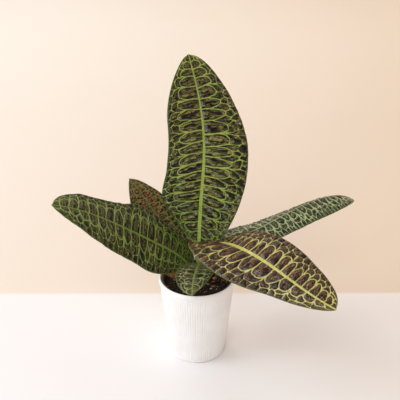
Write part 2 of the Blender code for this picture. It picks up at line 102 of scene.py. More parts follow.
# Node helpers: each material is a short list of these

class NodeDesk:
    def __init__(self, tree):
        self.tree = tree
        self.column = 0

    def add(self, kind, inputs=None, **settings):
        node = self.tree.nodes.new(kind)
        self.column += 1
        node.location = (180 * (self.column // 4), -220 * (self.column % 4))
        for key, value in settings.items():
            setattr(node, key, value)
        for key, value in (inputs or {}).items():
            self.feed(node.inputs[key], value)
        return node

    def feed(self, socket, value):
        if isinstance(value, bpy.types.NodeSocket):
            self.tree.links.new(value, socket)
        elif isinstance(value, (tuple, list)) and len(value) == 3 and socket.type == "RGBA":
            socket.default_value = (*value, 1.0)
        else:
            socket.default_value = value

    def math(self, operation, first, second=0.0, clamp=False):
        node = self.add("ShaderNodeMath", {0: first, 1: second}, operation=operation, use_clamp=clamp)
        return node.outputs[0]

    def ramp(self, value, low, high, out0=0.0, out1=1.0, smooth=True):
        kind = "SMOOTHSTEP" if smooth else "LINEAR"
        node = self.add("ShaderNodeMapRange", {"Value": value, "From Min": low, "From Max": high,
                                               "To Min": out0, "To Max": out1}, interpolation_type=kind)
        return node.outputs["Result"]

    def mix(self, share, first, second, blend="MIX"):
        node = self.add("ShaderNodeMix", data_type="RGBA", blend_type=blend)
        self.feed(node.inputs[0], share)
        self.feed(node.inputs[6], first)
        self.feed(node.inputs[7], second)
        return node.outputs[2]

    def mark(self, name):
        return self.add("ShaderNodeAttribute", attribute_name=name).outputs["Fac"]

    def noise(self, where, scale, detail=3.0, roughness=0.5, stretch=None):
        if stretch:
            where = self.add("ShaderNodeMapping", {"Vector": where, "Scale": stretch}).outputs[0]
        node = self.add("ShaderNodeTexNoise", {"Vector": where, "Scale": scale, "Detail": detail,
                                               "Roughness": roughness})
        return node.outputs["Fac"]

    def cells(self, where, scale, feature="F1", output="Distance"):
        node = self.add("ShaderNodeTexVoronoi", {"Vector": where, "Scale": scale}, feature=feature)
        return node.outputs[output]

    def where(self):
        return self.add("ShaderNodeTexCoord").outputs["Object"]


def newGroup(name, inputs, outputs):
    tree = bpy.data.node_groups.new(name, "ShaderNodeTree")
    for kind, sockets in (("INPUT", inputs), ("OUTPUT", outputs)):
        for socketName, socketType, value in sockets:
            socket = tree.interface.new_socket(socketName, in_out=kind, socket_type="NodeSocket" + socketType)
            if value is not None:
                socket.default_value = (*value, 1.0) if socketType == "Color" else value
    desk = NodeDesk(tree)
    return tree, desk, desk.add("NodeGroupInput").outputs, desk.add("NodeGroupOutput").inputs


def newMaterial(name, specular=0.5, coat=0.0, coatRoughness=0.1, ior=1.45):
    material = bpy.data.materials.new(name)
    material.use_nodes = True
    shader = material.node_tree.nodes["Principled BSDF"]
    shader.inputs["Specular IOR Level"].default_value = specular
    shader.inputs["Coat Weight"].default_value = coat
    shader.inputs["Coat Roughness"].default_value = coatRoughness
    shader.inputs["IOR"].default_value = ior
    return material, NodeDesk(material.node_tree), shader.inputs


def useGroup(desk, tree, values):
    node = desk.add("ShaderNodeGroup", node_tree=tree)
    for key, value in values.items():
        desk.feed(node.inputs[key], value)
    return node.outputs


def raiseBump(desk, sockets, height, depth, strength=1.0):
    # depth is in millimetres
    bump = desk.add("ShaderNodeBump", {"Height": height, "Distance": depth * mm, "Strength": strength})
    desk.feed(sockets["Normal"], bump.outputs["Normal"])


# Leaf sheets: the same middle lines, half-widths and veins as the solids

leafCommon = dict(
    thickness=0.7,
    edgeThickness=0.35,
    midribHalf=2.1,
    midribTaper=0.72,
    keel=1.9,
    petioleRadius=2.1,
    tipBluntness=8,
    spacing=0.73,
    fullReliefWidth=22.0,
    pillowReach=2.4,
    fineBulge=0.75,
    fineStep=2.5,
    fineHalf=0.12,
    cornerRound=0.45,
    veinBend=1.5,
    veinHalves=(0.54, 0.5, 0.43, 0.36),
    scallop=0.42,
    lesserCount=2,
    lesserReach=0.7,
    lesserHalf=0.16,
    ruffle=1.0,
    tipPoint=1.3,
    gloss=0.25,
    leanRight=(0.0, 0.0),
    leanLeft=(0.0, 0.0),
    lateralsRight=None,
    lateralsLeft=None,
    rowsRight=None,
    rowsLeft=None,
)

leaves = {
    "leafUpright": dict(
        node="leaf_upright", length=251, petiole=17, foot=(1.0, 5.9, 113.0),
        rise=(86, 86, 65, 57, 61), heading=(25, 67, 99, 124), roll=(-11, -19, -9, 1),
        right=(12, 32.5, 46, 53, 54, 48, 39, 31), left=(8, 26.5, 44, 43, 43.3, 45, 39.3, 26.5),
        foldRight=(-1, 4, 6), foldLeft=(11, 14, 10), curlRight=(-24, -14), curlLeft=(-13, -5),
        lateralsRight=(0.095, 0.155, 0.217, 0.27, 0.323, 0.368, 0.404, 0.458, 0.50, 0.545, 0.602, 0.677, 0.725, 0.779,
                       0.838, 0.88, 0.93, 0.965),
        lateralsLeft=(0.12, 0.175, 0.227, 0.29, 0.348, 0.39, 0.433, 0.468, 0.522, 0.573, 0.633, 0.683, 0.734, 0.777,
                      0.853, 0.895, 0.93, 0.965),
        leanRight=(-0.35, -0.34, -0.28, -0.12, 0.0, 0.04, 0.12, 0.3),
        leanLeft=(-0.2, -0.2, -0.2, -0.24, -0.2, -0.1, 0.0, 0.15),
        midribHalf=2.3, pitch=12.6, rowsRight=(0.56, 0.85), rowsLeft=(0.66, 0.9), bulge=1.3, lesserHalf=0.12, gloss=0.45, seed=11),
    "leafLeft": dict(
        node="leaf_left", length=191, petiole=6, foot=(-5.8, -1.5, 112.0),
        rise=(61, 38, 35, 29, 14), heading=(210, 197, 193, 193), roll=(39, 25, 11, 8),
        right=(14, 25, 32, 41.5, 35.5, 30.5, 31.5, 30), left=(6, 25, 34.5, 34.5, 36, 35, 27.5, 17),
        foldRight=(16, 11, 8), foldLeft=(-14, -7, 0), curlRight=(-4, -7), curlLeft=(-26, -19),
        leanRight=(0.05, 0.05), leanLeft=(-0.15, -0.2, -0.1), veinHalves=(0.6, 0.56, 0.48, 0.36),
        midribHalf=1.6, fineStep=2.2, pitch=11.0, rowsRight=(0.6, 0.86), rowsLeft=(0.46, 0.78), ruffle=2.2,
        lesserCount=2, lesserReach=1.4, lesserHalf=0.14, bulge=1.3, seed=23),
    "leafBackLeft": dict(
        node="leaf_back_left", length=132, petiole=12, foot=(-4.6, 3.9, 112.0),
        rise=(35, 37, 39, 38, 30), heading=(140, 136, 134, 138), roll=(9, 7, 5, 0),
        right=(10, 22, 25, 25, 25, 24, 20, 16), left=(4, 9, 17, 22, 25, 23.5, 17.5, 9),
        foldRight=(14, 7, -1), foldLeft=(9, 6, 2), curlRight=(-3, -7), curlLeft=(-6, -9),
        veinHalves=(0.5, 0.46, 0.42, 0.36), midribHalf=1.3, fineStep=2.2, pitch=8.5, rows=(0.5, 0.78), bulge=1.1, seed=37),
    "leafRight": dict(
        node="leaf_right", length=238, petiole=18, foot=(5.6, 2.0, 112.0),
        rise=(44, 14, 15, -2, -35), heading=(28, 27, 32, 42), roll=(-17, 5, 13, 24),
        right=(3.5, 15, 24, 28, 30, 30, 25, 14), left=(12, 25, 29, 32, 35, 33, 30, 25),
        foldRight=(-11, -15, -20), foldLeft=(2, -16, -31), curlRight=(-18, -19), curlLeft=(-6, -17),
        veinHalves=(0.54, 0.5, 0.46, 0.42), fineStep=2.0, veinBend=3.0, midribHalf=1.0, tipPoint=0.0, tipBluntness=13,
        lesserCount=1, pitch=8.4, rows=(0.42, 0.72), bulge=1.4, seed=41),
    "leafFrontRight": dict(
        node="leaf_front_right", length=241, petiole=22, foot=(4.5, -4.0, 113.0),
        rise=(79, 37, 6, -15, -12), heading=(-72, -58, -45, -34), roll=(15, -5, -24, -33),
        right=(3.5, 25, 41, 44, 38, 27, 19, 10), left=(3.5, 16, 27, 33.5, 36.5, 35.5, 33, 31),
        foldRight=(33, 7, -15), foldLeft=(22, 8, -8), curlRight=(-18, -26), curlLeft=(-13, -17),
        lateralsRight=(0.08, 0.14, 0.20, 0.26, 0.32, 0.389, 0.455, 0.515, 0.593, 0.659, 0.729, 0.78, 0.856, 0.902, 0.95),
        lateralsLeft=(0.10, 0.15, 0.20, 0.24, 0.28, 0.325, 0.36, 0.399, 0.443, 0.487, 0.529, 0.601, 0.645, 0.689,
                      0.733, 0.778, 0.815, 0.854, 0.90, 0.938, 0.97),
        leanRight=(0.0, 0.0, -0.1, -0.2, -0.15, -0.1, 0.05), leanLeft=(0.0, 0.0, 0.02, 0.05),
        midribHalf=3.0, midribTaper=0.82, veinHalves=(0.5, 0.46, 0.38, 0.32), gloss=0.6,
        pitch=13.0, rows=(0.54, 0.8), bulge=1.6, lesserCount=1, seed=53),
    "leafFrontSmall": dict(
        node="leaf_front_small", length=97, petiole=14, foot=(-0.8, -5.9, 113.0),
        rise=(62, 37, 13, -9, -34), heading=(-70, -91, -101, -90), roll=(2, 0, 0, 2),
        right=(2.5, 8, 12, 16, 20, 21, 19, 14), left=(2.5, 10, 16, 20, 21, 18, 13.5, 5),
        foldRight=(8, 3, -1), foldLeft=(7, 5, 2), curlRight=(-4, -7), curlLeft=(-2, -4),
        petioleRadius=1.8, spacing=0.5, veinHalves=(0.38, 0.34, 0.3, 0.26), ruffle=0.5, fineStep=1.7, fineHalf=0.08,
        fineBulge=0.4, pillowReach=1.5,
        pitch=8.0, rows=(0.50, 0.80), bulge=0.95, seed=67),
    "oldLeaf": dict(
        node="old_leaf", length=36, petiole=7, foot=(-3.6, 0.4, 97.0),
        rise=(12, 14, 12, 8, 2), heading=(178, 176, 172, 170), roll=(8, 20, 24, 18),
        right=(1.6, 3, 4.5, 5.5, 5.5, 5, 4, 2.5), left=(1.6, 3, 4.5, 5.5, 5.5, 4.5, 3.5, 2),
        foldRight=(10, 4, 0), foldLeft=(14, 8, 4), curlRight=(-30, -40), curlLeft=(-20, -30),
        petioleRadius=1.3, spacing=0.3, veinHalves=(0.35, 0.3, 0.25, 0.2), fineStep=1.6, fineBulge=0.25, ruffle=0.3,
        pitch=6.0, rows=(0.50, 0.82), bulge=0.5, seed=71),
}


class LeafSheet:
    # v runs 0 to 1 up the blade, u is -1 to 1 across it

    def __init__(self, shape):
        self.shape = {**leafCommon, **shape}
        self.blade = shape["length"] - shape["petiole"]
        self.bladeStart = shape["petiole"] / shape["length"]
        self.shares = np.linspace(0.0, 1.0, 201)
        forward = self.directions(self.shares)[0]
        step = shape["length"] / 200
        moves = np.cumsum((forward[1:] + forward[:-1]) / 2 * step, axis=0)
        self.line = np.vstack(([[0.0, 0.0, 0.0]], moves)) + np.array(shape["foot"])

    def directions(self, share):
        rise = np.radians(along(self.shape["rise"], share))
        heading = np.radians(along(self.shape["heading"], share))
        forward = np.stack((np.cos(rise) * np.cos(heading), np.cos(rise) * np.sin(heading), np.sin(rise)), -1)
        right = np.stack((np.sin(heading), -np.cos(heading), 0.0 * rise), -1)
        up = np.stack((-np.sin(rise) * np.cos(heading), -np.sin(rise) * np.sin(heading), np.cos(rise)), -1)
        return forward, right, up

    def axes(self, share, v):
        centre = np.stack([np.interp(share, self.shares, self.line[:, k]) for k in range(3)], -1)
        _, right, up = self.directions(share)
        roll = np.radians(along(self.shape["roll"], v))[:, None]
        return centre, np.cos(roll) * right + np.sin(roll) * up, np.cos(roll) * up - np.sin(roll) * right

    def halfWidth(self, v, side):
        rounding = np.sqrt(np.maximum(1.0 - np.asarray(v, float) ** self.shape["tipBluntness"], 0.0))
        return along(self.shape["right" if side > 0 else "left"], v) * rounding

    def widths(self, v, u):
        return np.where(u >= 0.0, self.halfWidth(v, 1), self.halfWidth(v, -1))

    def points(self, v, u, lift):
        centre, right, up = self.axes(self.bladeStart + (1.0 - self.bladeStart) * v, v)
        onRight = u >= 0.0
        side = np.where(onRight, 1.0, -1.0)
        reach = np.abs(u)
        width = self.widths(v, u)
        fold, curl = (np.radians(np.where(onRight, along(self.shape[kind + "Right"], v),
                                          along(self.shape[kind + "Left"], v))) for kind in ("fold", "curl"))
        curl = np.where(np.abs(curl) < 1e-4, 1e-4, curl)
        slope = fold + curl * reach
        across = width * (np.sin(slope) - np.sin(fold)) / curl * side
        rising = width * (np.cos(fold) - np.cos(slope)) / curl
        lean = slope * side * smoothStep(0.0, 0.06, reach)
        normal = np.cos(lean)[:, None] * up - np.sin(lean)[:, None] * right
        return centre + across[:, None] * right + rising[:, None] * up + lift[:, None] * normal


class CellNet:
    # the cells' middles lie in rows from the midrib to the margin; a vein runs where two are equally near

    rowHeights = (1.0, 0.62, 0.43)

    def __init__(self, sheet):
        self.sheet = sheet
        self.pitch = sheet.shape["pitch"]
        v = np.linspace(0.0, 1.0, 60)
        self.broadest = {side: float(sheet.halfWidth(v, side).max()) for side in (1, -1)}
        draw = random.Random(sheet.shape["seed"])
        self.borders = {}
        self.middles = {side: self.cellMiddles(side, draw) for side in (1, -1)}
        self.fineMiddles = {side: self.fineCellMiddles(draw) for side in (1, -1)}

    def option(self, name, side):
        return self.sheet.shape[name + ("Right" if side > 0 else "Left")]

    def lateralPlaces(self, side, draw):
        # where the side veins leave the midrib, in millimetres up the blade
        blade = self.sheet.blade
        given = self.option("laterals", side)
        if given:
            return [blade * place for place in given]
        count = round(blade / self.pitch)
        return [blade * (k + 0.55 + 0.3 * (draw.random() - 0.5)) / (count + 0.2) for k in range(count)]

    def cellMiddles(self, side, draw):
        blade, pitch = self.sheet.blade, self.pitch
        laterals = self.lateralPlaces(side, draw)
        ends = [laterals[0] - pitch] + laterals + [max(blade, laterals[-1] + 0.4 * pitch)]
        firstRow = [(low + high) / 2 for low, high in zip(ends[:-1], ends[1:])]
        borders = [(low + high) / 2 for low, high in zip(firstRow[:-1], firstRow[1:])]
        self.borders[side] = np.array([borders[0] - pitch] + borders + [borders[-1] + pitch])
        middles = [(place, pitch * (0.5 + 0.1 * (draw.random() - 0.5)), 0) for place in firstRow]
        # second row: one cell before each arch, and some small ones in the notches between arches
        for low, high, middle in zip(self.borders[side][:-1], self.borders[side][1:], firstRow):
            if self.roomAt(middle, side, 9.0):
                middles.append((middle + 0.14 * (high - low) * (draw.random() - 0.5),
                                pitch * (1.33 + 0.1 * (draw.random() - 0.5)), 1))
            if self.roomAt(high, side, 14.0) and draw.random() < 0.22:
                middles.append((high + 0.12 * pitch * (draw.random() - 0.5),
                                pitch * (1.18 + 0.08 * (draw.random() - 0.5)), 1))
        floor = self.rowHeights[0] + self.rowHeights[1]
        place = -pitch * draw.random()
        while place < blade + pitch:
            size = 0.55 + 0.45 * min(self.widthAt(place, side) / (0.6 * self.broadest[side]), 1.0)
            across = pitch * (floor + self.rowHeights[2] * (0.45 + 0.3 * (draw.random() - 0.5)))
            where = place + 0.2 * pitch * (draw.random() - 0.5)
            if self.roomAt(place, side, 15.0):
                middles.append((where, across, 2))
            place += 0.62 * pitch * size
        return np.array(middles)

    def widthAt(self, place, side):
        return float(self.sheet.halfWidth(min(max(place / self.sheet.blade, 0.0), 1.0), side))

    def roomAt(self, place, side, least):
        return self.widthAt(place, side) > least

    def fineCellMiddles(self, draw):
        step = self.sheet.shape["fineStep"]
        middles = []
        for line in range(-1, int(2.2 * self.pitch / step) + 2):
            for k in range(-3, int(self.sheet.blade / step) + 3):
                middles.append(((k + 0.5 * (line % 2) + 0.7 * (draw.random() - 0.5)) * step,
                                (line + 0.6 * (draw.random() - 0.5)) * step, 0))
        return np.array(middles)

    def phase(self, x, side):
        # 0 to 1 from one side vein to the next
        borders = self.borders[side]
        return np.interp(x, borders, np.arange(len(borders))) % 1.0

    def places(self, v, share, side):
        # where points of one side lie in the net, in its own millimetres
        shape, pitch = self.sheet.shape, self.pitch
        width = np.maximum(self.sheet.halfWidth(v, side), 0.5)
        lean = along(self.option("lean", side), v)
        x = v * self.sheet.blade - lean * share * width
        levels = pitch * np.cumsum((0.0, *self.rowHeights))
        y = np.interp(share, (0.0, *(self.option("rows", side) or shape["rows"]), 1.0), levels)
        offset = 40.0 * side + shape["seed"]
        bend = noisePairs(x, y, 0.10, offset)
        ripple = noisePairs(x, y, 0.33, offset)
        place = np.stack((x, y), -1) + shape["veinBend"] * bend + 0.45 * ripple
        arch = 1.0 - np.abs(2.0 * self.phase(place[:, 0], side) - 1.0) ** 2.6
        level = place[:, 1] / pitch
        arching = smoothStep(0.3, 0.85, level) * (1.0 - smoothStep(1.1, 1.7, level))
        place[:, 1] -= shape["scallop"] * pitch * (arch - 0.6) * arching
        return place, ripple

    def gaps(self, rows, u, blade):
        # for the grid of the blade: distances to vein and fine vein, and a tone for each cell
        shape = self.sheet.shape
        halves = np.array(shape["veinHalves"])
        pairs = np.array(((0, 1, 2), (1, 2, 3), (2, 3, 3)))
        sides = []
        for side, mine in ((-1, u[u <= 0.0]), (1, u[u >= 0.0])):
            v, share = (values.ravel() for values in np.meshgrid(rows, np.abs(mine), indexing="ij"))
            place, ripple = self.places(v, share, side)
            stretch = netStretch(place, v, share, self.sheet.halfWidth(rows, side), rows, len(mine), blade)
            size = 0.6 + 0.4 * np.minimum(self.sheet.halfWidth(v, side) / (0.5 * self.broadest[side]), 1.0)
            wander = noisePairs(place[:, 0], place[:, 1], 0.07, 9.0 * side)[:, 0]
            size = size * (1.1 - 0.25 * share) * (1.0 + 0.5 * wander)
            gap, own = borderGaps(self.middles[side], place, stretch, lambda one, two: halves[pairs[one, two]] * size,
                                  shape["cornerRound"])
            tone = (own * 0.618034 + 0.31 * side) % 1.0
            fineGap, fineOwn = borderGaps(self.fineMiddles[side], place + 0.8 * ripple, stretch,
                                          lambda one, two: shape["fineHalf"], 0.2)
            # lesser veins run out between the side veins
            count = shape["lesserCount"] + 1
            phase = self.phase(place[:, 0] + 1.1 * ripple[:, 0], side) * count
            lesserLine = np.abs((phase + 0.5) % 1.0 - 0.5) / count * self.pitch
            beyond = smoothStep(shape["lesserReach"], shape["lesserReach"] + 0.5, place[:, 1] / self.pitch)
            lesserGap = lesserLine - shape["lesserHalf"] + 4.0 * beyond + 3.0 * (tone < 0.15)
            fineTone = (fineOwn * 0.754877) % 1.0
            values = (gap, fineGap, tone, fineTone, np.minimum(lesserGap, fineGap + 0.3))
            sides.append([value.reshape(len(rows), len(mine)) for value in values])
        left, right = sides
        return [np.concatenate((one, two[:, 1:]), axis=1).ravel() for one, two in zip(left, right)]


def noisePairs(x, y, scale, offset):
    return np.array([(noise.noise((a * scale, b * scale, offset)), noise.noise((a * scale, b * scale, -offset)))
                     for a, b in zip(x, y)])


def netStretch(place, v, share, widths, rows, columns, blade):
    # how the net changes per millimetre along and across the blade
    grid = place.reshape(len(rows), columns, 2)
    x = share.reshape(len(rows), columns) * widths[:, None]
    y = v.reshape(len(rows), columns) * blade
    perColumn, perRow = np.gradient(grid, axis=1), np.gradient(grid, axis=0)
    acrossStep = np.gradient(x, axis=1)
    acrossStep = np.where(np.abs(acrossStep) < 0.02, 0.02, acrossStep)
    acrossChange = perColumn / acrossStep[..., None]
    alongChange = (perRow - acrossChange * np.gradient(x, axis=0)[..., None]) / np.gradient(y, axis=0)[..., None]
    return np.stack((acrossChange, alongChange), -1).reshape(-1, 2, 2)


def borderGaps(middles, places, stretch, halfWidth, rounding):
    # millimetres from each place to the edge of the nearest vein, and the number of its cell
    tree = kdtree.KDTree(len(middles))
    for k, (x, y, _) in enumerate(middles):
        tree.insert((x, y, 0.0), k)
    tree.balance()
    near = np.array([[index for _, index, _ in tree.find_n((x, y, 0.0), 4)] for x, y in places])
    spots, rows = middles[:, :2], middles[:, 2].astype(int)
    first = spots[near[:, 0]]
    total = np.zeros(len(places))
    for k in (1, 2, 3):
        other = spots[near[:, k]]
        apart = other - first
        length = np.linalg.norm(apart, axis=1)
        towards = ((other ** 2).sum(1) - (first ** 2).sum(1)) / 2 - (places * apart).sum(1)
        direction = apart / length[:, None]
        change = np.linalg.norm(np.einsum("ni,nij->nj", direction, stretch), axis=1)
        gap = towards / length / np.clip(change, 0.25, 3.0) - halfWidth(rows[near[:, 0]], rows[near[:, k]])
        total += np.exp(-np.clip(gap / rounding, -30.0, 30.0))
    return -rounding * np.log(total), near[:, 0]


def bladeRows(sheet, count):
    # shares of the blade, closer together where the outline turns
    v = np.linspace(0.0, 1.0, 800)
    middle = (sheet.halfWidth(v, 1) + sheet.halfWidth(v, -1)) / 2
    run = np.concatenate(([0.0], np.cumsum(np.hypot(np.diff(middle), np.diff(v) * sheet.blade))))
    return np.interp(np.linspace(0.0, run[-1], count), run, v)


def buildLeaf(name, shape):
    sheet = LeafSheet(shape)
    shape = sheet.shape
    net = CellNet(sheet)
    broad = max(sheet.halfWidth(np.linspace(0, 1, 50), 1) + sheet.halfWidth(np.linspace(0, 1, 50), -1))
    columns = 2 * int(broad / shape["spacing"] / 2) + 1
    rows = bladeRows(sheet, int(sheet.blade / shape["spacing"]))
    u = np.linspace(-1.0, 1.0, columns)
    gridV, gridU = (values.ravel() for values in np.meshgrid(rows, u, indexing="ij"))
    width = sheet.widths(gridV, gridU)
    x, y = gridU * width, gridV * sheet.blade

    sideGap, fineGap, cellTone, fineTone, lesserGap = net.gaps(rows, u, sheet.blade)
    heft = shape["petioleRadius"] / leafCommon["petioleRadius"]
    midribHalf = heft * shape["midribHalf"] * (1.0 - shape["midribTaper"] * gridV ** 1.2)
    midribGap = np.abs(x) - midribHalf
    veinGap = np.minimum(sideGap, midribGap)
    edgeGap = (1.0 - np.abs(gridU)) * width

    # quilting: each cell stands up between its veins, and its skin is drawn into small bumps
    calm = np.minimum(width / shape["fullReliefWidth"], 1.0) * np.minimum(7.0 * (1.0 - gridV), 1.0)
    calm = calm * smoothStep(0.0, 1.6, edgeGap) * smoothStep(0.0, 0.04, gridV)
    pillow = 1.0 - np.exp(-(np.maximum(veinGap, 0.0) / shape["pillowReach"]) ** 1.3)
    bump = 1.0 - np.exp(-(np.maximum(fineGap, 0.0) / 0.6) ** 1.3)
    swell = np.array([noise.noise((a * 0.22, b * 0.22, shape["seed"])) for a, b in zip(x, y)])
    lift = shape["bulge"] * pillow * (1.0 + 0.3 * swell) + shape["fineBulge"] * bump * pillow * (0.3 + 1.2 * fineTone)
    lift = lift * calm
    rib = np.exp(-(np.abs(x) / np.maximum(midribHalf, 0.3)) ** 4)
    lift = lift + 0.35 * heft * rib * smoothStep(0.0, 0.05, gridV) * (1.0 - gridV)
    waves = np.array([noise.noise((b * 0.05, math.copysign(3.0, a), shape["seed"])) +
                      0.35 * noise.noise((b * 0.17, math.copysign(9.0, a), shape["seed"])) for a, b in zip(x, y)])
    lift = lift + shape["ruffle"] * waves * np.abs(gridU) ** 3 * np.minimum(8.0 * gridV * (1.0 - gridV), 1.0)

    thickness = shape["edgeThickness"] + (shape["thickness"] - shape["edgeThickness"]) * smoothStep(0, 1.2, edgeGap)
    keelShape = np.maximum(1.0 - (x / np.maximum(midribHalf * 1.1, 0.3)) ** 2, 0.0)
    keel = heft * shape["keel"] * (1.0 - 0.75 * gridV) * keelShape
    veinRidge = 0.35 * np.exp(-(np.maximum(sideGap, 0.0) / 0.6) ** 2) * calm

    top = sheet.points(gridV, gridU, lift + thickness / 2)
    bottom = sheet.points(gridV, gridU, lift - thickness / 2 - keel - veinRidge)
    tip = shape["tipPoint"] * heft * np.exp(-(x / 1.6) ** 2) * smoothStep(0.975, 1.0, gridV)
    ahead = sheet.directions(np.ones(1))[0]
    top, bottom = top + tip[:, None] * ahead, bottom + tip[:, None] * ahead
    count = len(rows)
    ringTop = top.reshape(count, columns, 3)
    ringBottom = bottom.reshape(count, columns, 3)[:, ::-1]
    rings = np.concatenate((ringTop, ringBottom), axis=1)

    # petiole: rings that turn from the blade's first section to the round foot
    start = np.array([sheet.bladeStart])
    centre, right, up = sheet.axes(start, np.zeros(1))
    offsets = rings[0] - centre
    section = np.stack((offsets @ right[0], offsets @ up[0]), -1)
    angles = np.concatenate((np.pi * (1 - np.linspace(0.03, 0.97, columns)), -np.pi * np.linspace(0.03, 0.97, columns)))
    roundSection = shape["petioleRadius"] * np.stack((np.cos(angles), np.sin(angles)), -1)
    steps = max(int(shape["petiole"] / 1.3), 6)
    petioleRings = []
    for t in np.linspace(0.0, 1.0, steps, endpoint=False):
        blend = t * t * (3 - 2 * t)
        ring = (1 - blend) * roundSection + blend * section
        middle, side, above = sheet.axes(np.array([t * sheet.bladeStart]), np.zeros(1))
        petioleRings.append(middle + ring[:, :1] * side + ring[:, 1:] * above)
    allRings = np.concatenate((np.array(petioleRings), rings))
    ringSize = 2 * columns
    faces = gridQuads(len(allRings), ringSize, closed=True)

    # the foot's round end, closed by strips between its upper and lower half
    lower = np.arange(columns)
    upper = ringSize - 1 - np.arange(columns)
    cap = np.stack((lower[:-1], upper[:-1], upper[1:], lower[1:]), -1)
    faces = np.concatenate((faces, cap))

    def spread(values, petioleValue):
        grid = np.asarray(values, float).reshape(count, columns)
        both = np.concatenate((grid, grid[:, ::-1]), axis=1)
        return np.concatenate((np.full((steps, ringSize), petioleValue), both)).ravel()

    below = np.concatenate((np.zeros(columns), np.ones(columns)))
    upBlade = spread(gridV, 0.0).reshape(-1, ringSize)
    upBlade[:steps] = np.linspace(-0.1, 0.0, steps)[:, None]
    marks = dict(
        veinGap=spread(veinGap, -1.0),
        fineGap=spread(fineGap, 3.0),
        lesserGap=spread(lesserGap, 3.0),
        edgeGap=spread(edgeGap, 3.0),
        ribGap=spread(midribGap, -1.0),
        cellTone=spread(cellTone, 0.5),
        fineTone=spread(fineTone, 0.5),
        upBlade=upBlade.ravel(),
        below=np.tile(below, len(allRings)),
    )
    piece = meshPiece(name, allRings.reshape(-1, 3), faces, marks, weld=True)
    print(name, len(piece.data.polygons), "faces")
    return piece


# Leaf finishes

leafGroup, desk, given, out = newGroup(
    "leafSkin",
    [("Vein Colour", "Color", (0.3, 0.4, 0.1)), ("Rib Colour", "Color", (0.35, 0.45, 0.15)),
     ("Rib Base Colour", "Color", (0.25, 0.3, 0.08)),
     ("Base Vein Colour", "Color", (0.13, 0.22, 0.03)), ("Base Reach", "Float", 0.3),
     ("Halo Colour", "Color", (0.05, 0.08, 0.02)), ("Lit Bump Colour", "Color", (0.08, 0.1, 0.04)),
     ("Lesser Colour", "Color", (0.1, 0.12, 0.04)),
     ("Cell Colour", "Color", (0.03, 0.02, 0.01)), ("Cell Shade", "Color", (0.02, 0.03, 0.02)),
     ("Patch Colour", "Color", (0.06, 0.03, 0.01)), ("Patch Start", "Float", 0.5), ("Patch Full", "Float", 0.9),
     ("Edge Colour", "Color", (0.05, 0.09, 0.02)), ("Edge Width", "Float", 1.4),
     ("Under Colour", "Color", (0.12, 0.14, 0.06)), ("Under Vein", "Color", (0.2, 0.22, 0.1))],
    [("Colour", "Color", None), ("Roughness", "Float", None), ("Height", "Float", None)])
spot = desk.where()
mottle = desk.noise(spot, 160.0, 4.0, 0.6)
fleck = desk.noise(spot, 420.0, 3.0, 0.6)
speckle = desk.noise(spot, 900.0, 3.0, 0.6)
grain = desk.noise(spot, 2600.0, 2.0, 0.5)
veinGap = desk.math("ADD", desk.mark("veinGap"), desk.ramp(speckle, 0.3, 0.7, -0.12, 0.12))
fineGap = desk.mark("fineGap")
upBlade = desk.mark("upBlade")
# dark skin between the veins: small bumps, each with its own tone, with painted light on their tops and painted shade
# in their grooves
toneShare = desk.math("ADD", desk.math("MULTIPLY", desk.mark("cellTone"), 0.5), desk.ramp(mottle, 0.35, 0.65, -0.1, 0.5), True)
dark = desk.mix(toneShare, given["Cell Colour"], given["Cell Shade"])
patchShare = desk.math("MULTIPLY", desk.ramp(upBlade, given["Patch Start"], given["Patch Full"]),
                       desk.ramp(fleck, 0.35, 0.62, 0.2, 1.0))
light = desk.mix(patchShare, given["Lit Bump Colour"], given["Patch Colour"])
paintedBumpLight = desk.math("MULTIPLY", desk.ramp(fineGap, 0.05, 0.5), desk.ramp(desk.mark("fineTone"), 0.25, 0.85, 0.0, 1.0))
paintedBumpLight = desk.math("MULTIPLY", paintedBumpLight, desk.ramp(fleck, 0.3, 0.55, 0.35, 1.0))
cell = desk.mix(paintedBumpLight, dark, light)
# a dark green band beside the veins: partly the leaf's own green, partly painted shade along the vein edges
cell = desk.mix(desk.ramp(veinGap, 0.0, 0.9, 0.6, 0.0), cell, given["Halo Colour"])
lineShare = desk.math("MULTIPLY", desk.ramp(desk.mark("lesserGap"), -0.1, 0.45, 1.0, 0.0), desk.ramp(mottle, 0.34, 0.55, 0.45, 1.0))
cell = desk.mix(lineShare, cell, given["Lesser Colour"])
edgeGap = desk.math("ADD", desk.mark("edgeGap"), desk.ramp(fleck, 0.3, 0.7, -0.6, 0.6))
cell = desk.mix(desk.ramp(edgeGap, 0.4, given["Edge Width"], 0.75, 0.0), cell, given["Edge Colour"])
# veins, brighter towards the tip
baseShare = desk.ramp(upBlade, 0.0, given["Base Reach"], 1.0, 0.0)
vein = desk.mix(baseShare, given["Vein Colour"], given["Base Vein Colour"])
rib = desk.mix(desk.ramp(upBlade, -0.05, 0.35, 1.0, 0.0), given["Rib Colour"], given["Rib Base Colour"])
vein = desk.mix(desk.ramp(desk.mark("ribGap"), -0.3, 0.3, 1.0, 0.0), vein, rib)
vein = desk.mix(desk.ramp(fleck, 0.35, 0.65, 0.0, 0.45), vein, given["Base Vein Colour"])
skin = desk.mix(desk.ramp(veinGap, -0.22, 0.28, 1.0, 0.0), cell, vein)
skin = desk.mix(desk.ramp(edgeGap, 0.1, 1.5, 0.8, 0.0), skin, given["Edge Colour"])
under = desk.mix(desk.ramp(veinGap, -0.1, 0.7, 1.0, 0.0), given["Under Colour"], given["Under Vein"])
under = desk.mix(desk.ramp(mottle, 0.35, 0.7, 0.0, 0.4), under, given["Cell Colour"])
below = desk.mark("below")
desk.feed(out["Colour"], desk.mix(below, skin, under))
rough = desk.math("ADD", desk.ramp(mottle, 0.3, 0.7, 0.30, 0.40), desk.ramp(veinGap, -0.1, 0.5, 0.12, 0.0))
desk.feed(out["Roughness"], desk.math("ADD", rough, desk.math("MULTIPLY", below, 0.18)))
height = desk.math("ADD", desk.math("MULTIPLY", speckle, 0.7), desk.math("MULTIPLY", grain, 0.3))
